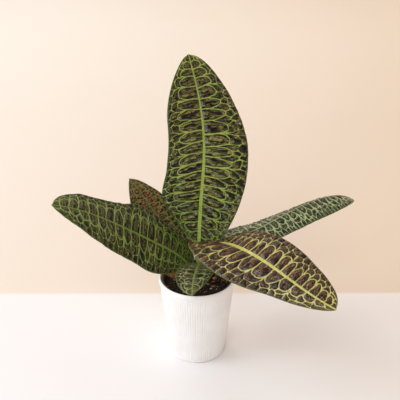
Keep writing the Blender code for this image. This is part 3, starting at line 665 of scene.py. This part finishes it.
desk.feed(out["Height"], desk.math("SUBTRACT", height, desk.ramp(fineGap, -0.1, 0.5, 1.0, 0.0)))


def srgb(red, green, blue):
    # colours below are as a screen shows them, 0 to 255
    values = [channel / 255.0 for channel in (red, green, blue)]
    return tuple(c / 12.92 if c <= 0.04045 else ((c + 0.055) / 1.055) ** 2.4 for c in values)


leafFinish = {
    "leafUpright": {
        "Vein Colour": srgb(176, 190, 100), "Rib Colour": srgb(176, 196, 86),
        "Base Vein Colour": srgb(126, 152, 58), "Rib Base Colour": srgb(160, 174, 88), "Base Reach": 0.45,
        "Halo Colour": srgb(24, 28, 6), "Lit Bump Colour": srgb(150, 144, 86),
        "Lesser Colour": srgb(134, 144, 74), "Cell Colour": srgb(8, 5, 1), "Cell Shade": srgb(15, 16, 7),
        "Patch Colour": srgb(128, 92, 52), "Patch Start": 0.45, "Patch Full": 0.85,
        "Edge Colour": srgb(58, 76, 24), "Edge Width": 3.2,
        "Under Colour": srgb(96, 104, 62), "Under Vein": srgb(140, 148, 92)},
    "leafLeft": {
        "Vein Colour": srgb(146, 160, 88), "Rib Colour": srgb(118, 142, 58),
        "Base Vein Colour": srgb(96, 126, 40), "Rib Base Colour": srgb(90, 122, 44), "Base Reach": 0.5,
        "Halo Colour": srgb(28, 32, 8), "Lit Bump Colour": srgb(118, 110, 60),
        "Lesser Colour": srgb(112, 124, 62), "Cell Colour": srgb(9, 6, 1), "Cell Shade": srgb(17, 17, 7),
        "Patch Colour": srgb(116, 92, 54), "Patch Start": 0.5, "Patch Full": 1.0,
        "Edge Colour": srgb(62, 88, 26), "Edge Width": 2.2,
        "Under Colour": srgb(90, 98, 56), "Under Vein": srgb(132, 142, 84)},
    "leafBackLeft": {
        "Vein Colour": srgb(130, 126, 68), "Rib Colour": srgb(118, 120, 58),
        "Base Vein Colour": srgb(92, 100, 44), "Rib Base Colour": srgb(84, 92, 42), "Base Reach": 0.6,
        "Halo Colour": srgb(36, 34, 10), "Lit Bump Colour": srgb(132, 106, 56),
        "Lesser Colour": srgb(112, 108, 58), "Cell Colour": srgb(14, 9, 2), "Cell Shade": srgb(18, 18, 6),
        "Patch Colour": srgb(226, 118, 60), "Patch Start": 0.2, "Patch Full": 0.75,
        "Edge Colour": srgb(86, 82, 36), "Edge Width": 2.0,
        "Under Colour": srgb(100, 86, 52), "Under Vein": srgb(136, 124, 76)},
    "leafRight": {
        "Vein Colour": srgb(178, 190, 140), "Rib Colour": srgb(158, 172, 122),
        "Base Vein Colour": srgb(132, 146, 92), "Rib Base Colour": srgb(112, 122, 80), "Base Reach": 0.4,
        "Halo Colour": srgb(40, 46, 22), "Lit Bump Colour": srgb(126, 136, 98),
        "Lesser Colour": srgb(140, 150, 108), "Cell Colour": srgb(16, 18, 9), "Cell Shade": srgb(26, 30, 18),
        "Patch Colour": srgb(100, 102, 72), "Patch Start": 0.3, "Patch Full": 0.9,
        "Edge Colour": srgb(80, 92, 52), "Edge Width": 2.4,
        "Under Colour": srgb(98, 106, 68), "Under Vein": srgb(142, 150, 100)},
    "leafFrontRight": {
        "Vein Colour": srgb(206, 196, 120), "Rib Colour": srgb(210, 206, 118),
        "Base Vein Colour": srgb(172, 166, 86), "Rib Base Colour": srgb(202, 198, 112), "Base Reach": 0.3,
        "Halo Colour": srgb(36, 26, 8), "Lit Bump Colour": srgb(126, 88, 64),
        "Lesser Colour": srgb(144, 122, 74), "Cell Colour": srgb(22, 8, 3), "Cell Shade": srgb(28, 14, 8),
        "Patch Colour": srgb(130, 86, 66), "Patch Start": 0.1, "Patch Full": 0.5,
        "Edge Colour": srgb(92, 92, 38), "Edge Width": 2.2,
        "Under Colour": srgb(112, 108, 66), "Under Vein": srgb(156, 152, 96)},
    "leafFrontSmall": {
        "Vein Colour": srgb(158, 164, 112), "Rib Colour": srgb(136, 150, 88),
        "Base Vein Colour": srgb(110, 116, 60), "Rib Base Colour": srgb(72, 84, 40), "Base Reach": 0.5,
        "Halo Colour": srgb(36, 36, 14), "Lit Bump Colour": srgb(142, 136, 88),
        "Lesser Colour": srgb(140, 142, 92), "Cell Colour": srgb(14, 10, 3), "Cell Shade": srgb(22, 20, 9),
        "Patch Colour": srgb(112, 98, 60), "Patch Start": 0.2, "Patch Full": 0.8,
        "Edge Colour": srgb(92, 94, 50), "Edge Width": 1.2,
        "Under Colour": srgb(112, 116, 76), "Under Vein": srgb(146, 150, 104)},
    "oldLeaf": {
        "Vein Colour": srgb(156, 116, 72), "Rib Colour": srgb(140, 96, 52),
        "Base Vein Colour": srgb(104, 68, 36), "Rib Base Colour": srgb(92, 62, 34), "Base Reach": 0.6,
        "Halo Colour": srgb(116, 78, 42), "Lit Bump Colour": srgb(140, 104, 64),
        "Lesser Colour": srgb(130, 90, 50), "Cell Colour": srgb(96, 68, 40), "Cell Shade": srgb(84, 58, 32),
        "Patch Colour": srgb(140, 102, 60), "Patch Start": 0.3, "Patch Full": 0.9,
        "Edge Colour": srgb(80, 50, 26), "Edge Width": 0.8,
        "Under Colour": srgb(120, 82, 48), "Under Vein": srgb(146, 106, 66)},
}

for leafName, shape in leaves.items():
    material, desk, sockets = newMaterial(leafName + "Skin", specular=0.12, coat=shape.get("gloss", leafCommon["gloss"]),
                                          coatRoughness=0.16)
    skin = useGroup(desk, leafGroup, leafFinish[leafName])
    desk.feed(sockets["Base Color"], skin["Colour"])
    desk.feed(sockets["Roughness"], skin["Roughness"])
    raiseBump(desk, sockets, skin["Height"], 0.5)
    place(buildLeaf(leafName, shape), shape["node"], material, shape["node"])
print("leaves placed")


# Turned pieces

def turnedPiece(name, outline, columns, wave=None, marks=None):
    # outline is a list of (radius, height); wave may move a point's radius and height
    turn = np.linspace(0.0, 2 * math.pi, columns, endpoint=False)
    outline = np.asarray(outline, float)
    radius = np.repeat(outline[:, :1], columns, axis=1)
    height = np.repeat(outline[:, 1:], columns, axis=1)
    angle = np.repeat(turn[None, :], len(outline), axis=0)
    if wave:
        radius, height = wave(radius, height, angle)
    points = np.stack((radius * np.cos(angle), radius * np.sin(angle), height), -1).reshape(-1, 3)
    return meshPiece(name, points, gridQuads(len(outline), columns, closed=True), marks, weld=True)


def roundedCorner(before, corner, after, radius, count=5):
    # points of an arc that replaces one corner of an outline
    before, corner, after = (Vector(point) for point in (before, corner, after))
    toBefore, toAfter = (before - corner).normalized(), (after - corner).normalized()
    half = toBefore.angle(toAfter) / 2
    reach = min(radius / math.tan(half), (before - corner).length * 0.49, (after - corner).length * 0.49)
    start, end = corner + toBefore * reach, corner + toAfter * reach
    points = []
    for t in np.linspace(0.0, 1.0, count):
        points.append(tuple((1 - t) ** 2 * start + 2 * t * (1 - t) * corner + t ** 2 * end))
    return points


def roundedOutline(corners, count=5):
    # corners are (radius, height, rounding)
    outline = [corners[0][:2]]
    for before, corner, after in zip(corners[:-2], corners[1:-1], corners[2:]):
        if corner[2] > 0.0:
            outline.extend(roundedCorner(before[:2], corner[:2], after[:2], corner[2], count))
        else:
            outline.append(corner[:2])
    return outline + [corners[-1][:2]]


def filledIn(outline, step):
    # extra points on long stretches, so that ribs and noise have something to move
    result = [outline[0]]
    for one, two in zip(outline[:-1], outline[1:]):
        count = max(int(math.hypot(two[0] - one[0], two[1] - one[1]) / step), 1)
        for k in range(1, count + 1):
            result.append((one[0] + (two[0] - one[0]) * k / count, one[1] + (two[1] - one[1]) * k / count))
    return result


# White pot

pot = dict(height=102.0, rimRadius=45.0, lipStep=0.5, lipHeight=6.0, baseRadius=33.3, edgeRound=1.6,
           wall=2.7, floor=5.0, ribs=90, ribDepth=0.6, columnsPerRib=8, ribEnd=2.4)


def potOuterRadius(height):
    return pot["baseRadius"] + (pot["rimRadius"] - pot["lipStep"] - pot["baseRadius"]) * height / pot["height"]


def potWave(radius, height, angle):
    # upright ribs with round crests and narrow valleys, dying out at the lip and the foot
    outside = radius > potOuterRadius(height) - 1.2
    low, high = pot["edgeRound"] + 1.5, pot["height"] - pot["lipHeight"] - 1.0
    strength = smoothStep(low, low + pot["ribEnd"], height) * (1 - smoothStep(high - pot["ribEnd"], high, height))
    crest = np.abs(np.sin(pot["ribs"] * angle / 2)) ** 0.6 - 0.8
    sway = 0.05 * np.sin(5 * angle + 1.0) + 0.04 * np.sin(3 * angle + height * 0.05)
    return radius + outside * (pot["ribDepth"] * strength * crest) + sway * (radius > 5.0), height


innerRim = pot["rimRadius"] - pot["wall"]
lip = pot["height"] - pot["lipHeight"]
potCorners = [
    (0.0, pot["floor"], 0), (pot["baseRadius"] - 3.0, pot["floor"], 2.5), (innerRim, pot["height"] - 1.0, 1.0),
    (innerRim + 0.9, pot["height"], 0.9), (pot["rimRadius"] - 0.9, pot["height"], 0.9),
    (pot["rimRadius"], pot["height"] - 1.2, 1.2), (pot["rimRadius"] - 0.15, lip + 0.6, 0.6),
    (potOuterRadius(lip - 1.0), lip - 1.0, 0.6), (potOuterRadius(pot["edgeRound"]), pot["edgeRound"], 1.2),
    (pot["baseRadius"] - 1.4, 0.0, 0.9), (0.0, 0.0, 0)]
potOutline = filledIn(roundedOutline(potCorners), 3.0)
potPiece = turnedPiece("ribbedPot", potOutline, pot["ribs"] * pot["columnsPerRib"], potWave)
material, desk, sockets = newMaterial("whiteGlaze", specular=0.45, coat=0.15, coatRoughness=0.25)
spot = desk.where()
cloud = desk.noise(spot, 30.0, 4.0, 0.55)
pits = desk.noise(spot, 1300.0, 3.0, 0.6)
footBlotch = desk.noise(spot, 90.0, 5.0, 0.7)
heightShare = desk.add("ShaderNodeSeparateXYZ", {"Vector": spot}).outputs["Z"]
# darker and browner in blotches over the lowest 12 mm of the pot
darkerFoot = desk.math("MULTIPLY", desk.ramp(heightShare, 0.0, 0.012, 0.5, 0.0), desk.ramp(footBlotch, 0.45, 0.7, 0.0, 0.6))
white = desk.mix(desk.ramp(cloud, 0.3, 0.7), srgb(246, 244, 243), srgb(241, 238, 236))
desk.feed(sockets["Base Color"], desk.mix(darkerFoot, white, srgb(205, 196, 184)))
desk.feed(sockets["Roughness"], desk.ramp(cloud, 0.3, 0.7, 0.42, 0.52))
raiseBump(desk, sockets, pits, 0.05)
place(potPiece, "pot", material, "pot")
print("pot placed")


# Nursery pot

liner = dict(floor=5.3, height=94.0, rimOuter=41.3, rimHeight=3.0, topRadius=40.4, floorRadius=29.6, wall=1.0,
             drainHoles=5, drainRadius=3.5, drainRing=19.0)


def linerInnerRadius(height):
    slope = (liner["topRadius"] - liner["floorRadius"]) / (liner["height"] - liner["rimHeight"])
    return liner["floorRadius"] - liner["wall"] + slope * (height - liner["floor"])


rim = liner["floor"] + liner["height"]
rimFoot = rim - liner["rimHeight"]
insideFloor = liner["floor"] + liner["wall"]
linerCorners = [
    (0.0, insideFloor, 0), (linerInnerRadius(insideFloor), insideFloor, 1.0), (linerInnerRadius(rimFoot), rimFoot, 2.0),
    (liner["topRadius"] - liner["wall"], rim, 0.5), (liner["rimOuter"] - 0.2, rim, 0.5),
    (liner["rimOuter"], rimFoot, 0.15), (liner["topRadius"], rimFoot, 0.3),
    (liner["floorRadius"], liner["floor"], 1.0), (0.0, liner["floor"], 0)]
linerPiece = turnedPiece("nurseryPot", filledIn(roundedOutline(linerCorners), 6.0), 144)
for number in range(liner["drainHoles"]):
    turn = 2 * math.pi * (number + 0.25) / liner["drainHoles"]
    spotOnFloor = (liner["drainRing"] * math.cos(turn) * mm, liner["drainRing"] * math.sin(turn) * mm, liner["floor"] * mm)
    bpy.ops.mesh.primitive_cylinder_add(vertices=32, radius=liner["drainRadius"] * mm, depth=4 * mm, location=spotOnFloor)
    punch = bpy.context.object
    boolean = linerPiece.modifiers.new("drainHole", "BOOLEAN")
    boolean.operation = "DIFFERENCE"
    boolean.solver = "EXACT"
    boolean.object = punch
    bpy.context.view_layer.objects.active = linerPiece
    bpy.ops.object.modifier_apply(modifier=boolean.name)
    bpy.data.objects.remove(punch)
material, desk, sockets = newMaterial("taupePlastic", specular=0.4)
spot = desk.where()
scuff = desk.noise(spot, 220.0, 5.0, 0.7, stretch=(1.0, 1.0, 0.2))
dust = desk.noise(spot, 60.0, 4.0, 0.6)
desk.feed(sockets["Base Color"], desk.mix(desk.ramp(dust, 0.45, 0.75, 0.0, 0.5), srgb(74, 55, 43), srgb(104, 82, 66)))
desk.feed(sockets["Roughness"], desk.ramp(scuff, 0.3, 0.7, 0.42, 0.62))
raiseBump(desk, sockets, scuff, 0.06)
place(linerPiece, "nursery_pot", material, "nursery_pot")
print("nursery pot placed")


# Soil: one bumpy body, with loose crumbs, bark and a few pale bits on it

soil = dict(top=94.0, holeDepth=16.0, holeRadius=5.4, bump=1.3, rings=64, columns=240,
            crumbs=900, barks=85, grits=26, fibres=16, seed=5)


def soilLevel(x, y):
    wide = noise.noise((x * 0.17, y * 0.17, 0.0)) + 0.6 * noise.noise((x * 0.41, y * 0.41, 0.0))
    lumps = noise.noise((x * 0.9, y * 0.9, 3.0)) + 0.6 * noise.noise((x * 2.1, y * 2.1, 7.0))
    return soil["top"] - 0.6 + soil["bump"] * wide * 0.8 + 0.55 * lumps


soilEdge = linerInnerRadius(soil["top"] - 1.0) - 0.4
soilFloor = insideFloor + 0.3
radii = np.linspace(soil["holeRadius"] + 0.6, soilEdge - 0.5, soil["rings"])
soilOutline = [(0.0, soil["top"] - soil["holeDepth"]), (soil["holeRadius"], soil["top"] - soil["holeDepth"]),
               (soil["holeRadius"], soil["top"] - 1.5)] + [(radius, soil["top"]) for radius in radii]
soilOutline += [(soilEdge, soil["top"] - 1.6), (linerInnerRadius(soilFloor) - 0.4, soilFloor), (0.0, soilFloor)]


def soilWave(radius, height, angle):
    height = height.copy()
    onTop = (height >= soil["top"] - 0.01) & (radius > soil["holeRadius"])
    for row, column in zip(*np.nonzero(onTop)):
        x, y = radius[row, column] * math.cos(angle[row, column]), radius[row, column] * math.sin(angle[row, column])
        height[row, column] = soilLevel(x, y)
    return radius, height


soilPiece = turnedPiece("soilBody", soilOutline, soil["columns"], soilWave)
material, desk, sockets = newMaterial("pottingMix", specular=0.25)
spot = desk.where()
clods = desk.cells(spot, 700.0)
damp = desk.noise(spot, 120.0, 4.0, 0.6)
peat = desk.noise(spot, 1600.0, 4.0, 0.7)
dark = desk.mix(desk.ramp(damp, 0.35, 0.65), srgb(28, 22, 18), srgb(44, 33, 26))
dark = desk.mix(desk.ramp(peat, 0.5, 0.75, 0.0, 0.55), dark, srgb(72, 52, 38))
desk.feed(sockets["Base Color"], desk.mix(desk.ramp(clods, 0.1, 0.5, 0.6, 0.0), dark, srgb(15, 12, 10)))
desk.feed(sockets["Roughness"], desk.ramp(damp, 0.3, 0.7, 0.72, 0.95))
raiseBump(desk, sockets, desk.math("ADD", clods, peat), 0.6)
place(soilPiece, "soil", material, "soil")


def scatter(name, count, seed, size, flatness, detail, tones, reach=36.0):
    # small lumps that lie half sunk in the soil, as one piece
    draw = random.Random(seed)
    work = bmesh.new()
    toneLayer = work.verts.layers.float.new("bitTone")
    for _ in range(count):
        radius = reach * math.sqrt(draw.random())
        turn = 2 * math.pi * draw.random()
        if radius < soil["holeRadius"] + 2.5:
            continue
        x, y = radius * math.cos(turn), radius * math.sin(turn)
        scale = size[0] + (size[1] - size[0]) * draw.random() ** 2.2
        tone = draw.random() * tones
        stretch = Vector((1.0, 0.55 + 0.4 * draw.random(), flatness * (0.7 + 0.6 * draw.random())))
        spin = Vector((0, 0, 1)).rotation_difference(
            Vector((0.5 * (draw.random() - 0.5), 0.5 * (draw.random() - 0.5), 1.0))).to_matrix()
        yaw = 2 * math.pi * draw.random()
        made = bmesh.ops.create_icosphere(work, subdivisions=detail, radius=1.0)["verts"]
        offset = Vector((draw.random(), draw.random(), draw.random())) * 50
        for vertex in made:
            rough = 1.0 + 0.45 * noise.noise(vertex.co * 1.3 + offset) + 0.2 * noise.noise(vertex.co * 3.1 + offset)
            local = Vector((vertex.co.x * stretch.x, vertex.co.y * stretch.y, vertex.co.z * stretch.z)) * rough * scale
            local = spin @ Vector((local.x * math.cos(yaw) - local.y * math.sin(yaw),
                                   local.x * math.sin(yaw) + local.y * math.cos(yaw), local.z))
            vertex.co = (local + Vector((x, y, soilLevel(x, y) + 0.25 * scale * stretch.z))) * mm
            vertex[toneLayer] = tone
    mesh = bpy.data.meshes.new(name)
    work.to_mesh(mesh)
    work.free()
    mesh.shade_smooth()
    piece = bpy.data.objects.new(name, mesh)
    scene.collection.objects.link(piece)
    return piece


crumbPiece = scatter("soilCrumbs", soil["crumbs"], soil["seed"], (0.5, 1.9), 0.7, 2, 1.0)
material, desk, sockets = newMaterial("peatCrumbs", specular=0.25)
spot = desk.where()
tone = desk.mark("bitTone")
fleck = desk.noise(spot, 1500.0, 4.0, 0.7)
colour = desk.mix(desk.ramp(tone, 0.3, 1.0, 0.0, 0.9), srgb(24, 19, 16), srgb(64, 46, 34))
desk.feed(sockets["Base Color"], desk.mix(desk.ramp(fleck, 0.5, 0.8, 0.0, 0.6), colour, srgb(86, 64, 46)))
desk.feed(sockets["Roughness"], desk.ramp(fleck, 0.3, 0.7, 0.75, 0.95))
raiseBump(desk, sockets, fleck, 0.4)
place(crumbPiece, "soil", material)

barkPiece = scatter("barkBits", soil["barks"], soil["seed"] + 1, (1.0, 2.6), 0.28, 2, 1.0)
material, desk, sockets = newMaterial("barkChips", specular=0.3)
spot = desk.where()
tone = desk.mark("bitTone")
fibre = desk.noise(spot, 900.0, 4.0, 0.7, stretch=(1.0, 0.3, 1.0))
colour = desk.mix(tone, srgb(112, 74, 46), srgb(196, 148, 98))
desk.feed(sockets["Base Color"], desk.mix(desk.ramp(fibre, 0.4, 0.7, 0.0, 0.7), colour, srgb(74, 46, 30)))
desk.feed(sockets["Roughness"], desk.ramp(fibre, 0.3, 0.7, 0.6, 0.85))
raiseBump(desk, sockets, fibre, 0.3)
place(barkPiece, "soil", material)

gritPiece = scatter("paleGrit", soil["grits"], soil["seed"] + 2, (0.6, 1.3), 0.8, 2, 1.0)
material, desk, sockets = newMaterial("perliteGrit", specular=0.3)
spot = desk.where()
pore = desk.cells(spot, 2400.0)
desk.feed(sockets["Base Color"], desk.mix(desk.ramp(pore, 0.1, 0.5), srgb(150, 136, 118), srgb(214, 204, 188)))
desk.feed(sockets["Roughness"], desk.ramp(pore, 0.1, 0.5, 0.9, 0.7))
raiseBump(desk, sockets, pore, 0.25)
place(gritPiece, "soil", material)
print("soil placed")


# Stem and crown

stem = dict(radius=5.0, crownRadius=9.4, crownMiddle=111.0, crownTop=118.5, foot=78.3, scars=(97.5, 101.5))


def stemWave(radius, height, angle):
    ripple = np.zeros_like(radius)
    for row, column in np.ndindex(radius.shape):
        spin = angle[row, column]
        ripple[row, column] = noise.noise((2.2 * math.cos(spin), 2.2 * math.sin(spin), height[row, column] * 0.16))
    shallow = np.where(height > 94.0, 0.45, 0.12) * np.minimum(radius / 3.0, 1.0)
    return radius + shallow * (ripple - 0.25), height


stemCorners = [
    (0.0, stem["crownTop"], 0), (stem["crownRadius"] * 0.5, stem["crownTop"] - 1.0, 3),
    (stem["crownRadius"] * 0.82, stem["crownTop"] - 3.2, 3), (stem["crownRadius"], stem["crownMiddle"] + 0.5, 3),
    (stem["crownRadius"] * 0.92, stem["crownMiddle"] - 3.0, 3), (stem["radius"] + 1.2, stem["crownMiddle"] - 7.0, 2)]
for scarHeight in reversed(stem["scars"]):
    stemCorners += [(stem["radius"], scarHeight + 1.0, 0.4), (stem["radius"] + 0.6, scarHeight, 0.3),
                    (stem["radius"], scarHeight - 1.0, 0.4)]
stemCorners += [(stem["radius"], 94.0, 0.5), (stem["radius"] - 0.4, stem["foot"] + 1.0, 0.5),
                (stem["radius"] - 1.4, stem["foot"], 0.4), (0.0, stem["foot"], 0)]
stemPiece = turnedPiece("leafCrown", filledIn(roundedOutline(stemCorners), 0.7), 96, stemWave)
material, desk, sockets = newMaterial("crownBark", specular=0.35)
spot = desk.where()
streak = desk.noise(spot, 420.0, 4.0, 0.65, stretch=(1.0, 1.0, 0.25))
patch = desk.noise(spot, 140.0, 3.0, 0.6)
colour = desk.mix(desk.ramp(patch, 0.35, 0.65), srgb(96, 92, 48), srgb(112, 84, 50))
desk.feed(sockets["Base Color"], desk.mix(desk.ramp(streak, 0.45, 0.75, 0.0, 0.6), colour, srgb(64, 48, 30)))
desk.feed(sockets["Roughness"], desk.ramp(streak, 0.3, 0.7, 0.5, 0.75))
raiseBump(desk, sockets, streak, 0.35)
place(stemPiece, "stem", material, "stem")
print("stem placed")


# Floor, lights and camera

floor = dict(size=8.0, seam=0.118, seamBlur=0.004)
floorMesh = bpy.data.meshes.new("paleFloor")
half = floor["size"] / 2
floorMesh.from_pydata([(-half, -half, 0), (half, -half, 0), (half, half, 0), (-half, half, 0)], [], [(0, 1, 2, 3)])
floorPiece = bpy.data.objects.new("paleFloor", floorMesh)
scene.collection.objects.link(floorPiece)
material, desk, sockets = newMaterial("paleTable", specular=0.2)
spot = desk.where()
axes = desk.add("ShaderNodeSeparateXYZ", {"Vector": spot}).outputs
beyond = desk.ramp(axes["Y"], floor["seam"] - floor["seamBlur"], floor["seam"] + floor["seamBlur"])
fade = desk.noise(spot, 3.0, 3.0, 0.5)
# the table and the paper beyond the seam are two real tones; painted shade darkens and warms both towards the right,
# and painted light brightens the paper towards the back
paintedSideShade = desk.math("ADD", desk.ramp(axes["X"], -0.5, 0.6, smooth=False), desk.ramp(fade, 0.3, 0.7, -0.03, 0.03), True)
table = desk.mix(paintedSideShade, srgb(238, 239, 244), srgb(240, 233, 230))
nearPaper = desk.mix(paintedSideShade, srgb(238, 229, 222), srgb(223, 202, 180))
farPaper = desk.mix(paintedSideShade, srgb(245, 241, 236), srgb(244, 229, 213))
paper = desk.mix(desk.ramp(axes["Y"], 0.12, 1.5), nearPaper, farPaper)
desk.feed(sockets["Base Color"], desk.mix(beyond, table, paper))
desk.feed(sockets["Roughness"], desk.ramp(fade, 0.3, 0.7, 0.6, 0.7))
floorMesh.materials.append(material)

lights = dict(
    key=dict(place=(-3.2, -0.55, 2.35), aim=(0.0, 0.0, 0.1), size=3.4, watts=90.0, colour=(0.82, 0.93, 1.0)),
    window=dict(place=(-2.2, -0.5, 1.75), aim=(0.0, 0.0, 0.15), size=0.6, watts=7.0, colour=(0.86, 0.95, 1.0)),
    fill=dict(place=(-0.6, -3.0, 2.4), aim=(0.0, 0.0, 0.1), size=2.0, watts=60.0, colour=(0.93, 0.97, 1.0)),
    wash=dict(place=(-0.9, 1.9, 1.9), aim=(-0.2, 1.6, 0.0), size=1.2, watts=8.0, colour=(1.0, 0.97, 0.92)),
)
for lightName, light in lights.items():
    lamp = bpy.data.lights.new(lightName, "AREA")
    lamp.shape = "SQUARE"
    lamp.size = light["size"]
    lamp.energy = light["watts"]
    lamp.color = light["colour"]
    holder = bpy.data.objects.new(lightName, lamp)
    holder.location = light["place"]
    holder.rotation_euler = (Vector(light["aim"]) - holder.location).to_track_quat("-Z", "Y").to_euler()
    scene.collection.objects.link(holder)

world = bpy.data.worlds.new("softRoom")
scene.world = world
world.use_nodes = True
room = NodeDesk(world.node_tree)
backdropSide = room.add("ShaderNodeSeparateXYZ", {"Vector": room.add("ShaderNodeTexCoord").outputs["Generated"]}).outputs["Y"]
background = world.node_tree.nodes["Background"].inputs
room.feed(background["Strength"], room.ramp(backdropSide, -0.7, 0.7, 0.28, 0.96))
background["Color"].default_value = (1.0, 0.82, 0.67, 1.0)

view = dict(distance=1.0575, climb=36.8, pitch=27.0, yaw=0.24, lens=76.23)
climb, pitch, yaw = (math.radians(view[key]) for key in ("climb", "pitch", "yaw"))
lens = bpy.data.cameras.new("camera")
lens.lens = view["lens"]
lens.sensor_width = 36.0
lens.clip_start = 0.05
camera = bpy.data.objects.new("camera", lens)
camera.location = (0.0, -view["distance"] * math.cos(climb), view["distance"] * math.sin(climb))
ahead = Vector((math.sin(yaw) * math.cos(pitch), math.cos(yaw) * math.cos(pitch), -math.sin(pitch)))
camera.rotation_euler = ahead.to_track_quat("-Z", "Y").to_euler()
scene.collection.objects.link(camera)
scene.camera = camera
scene.view_settings.view_transform = "Standard"
print("stage set")
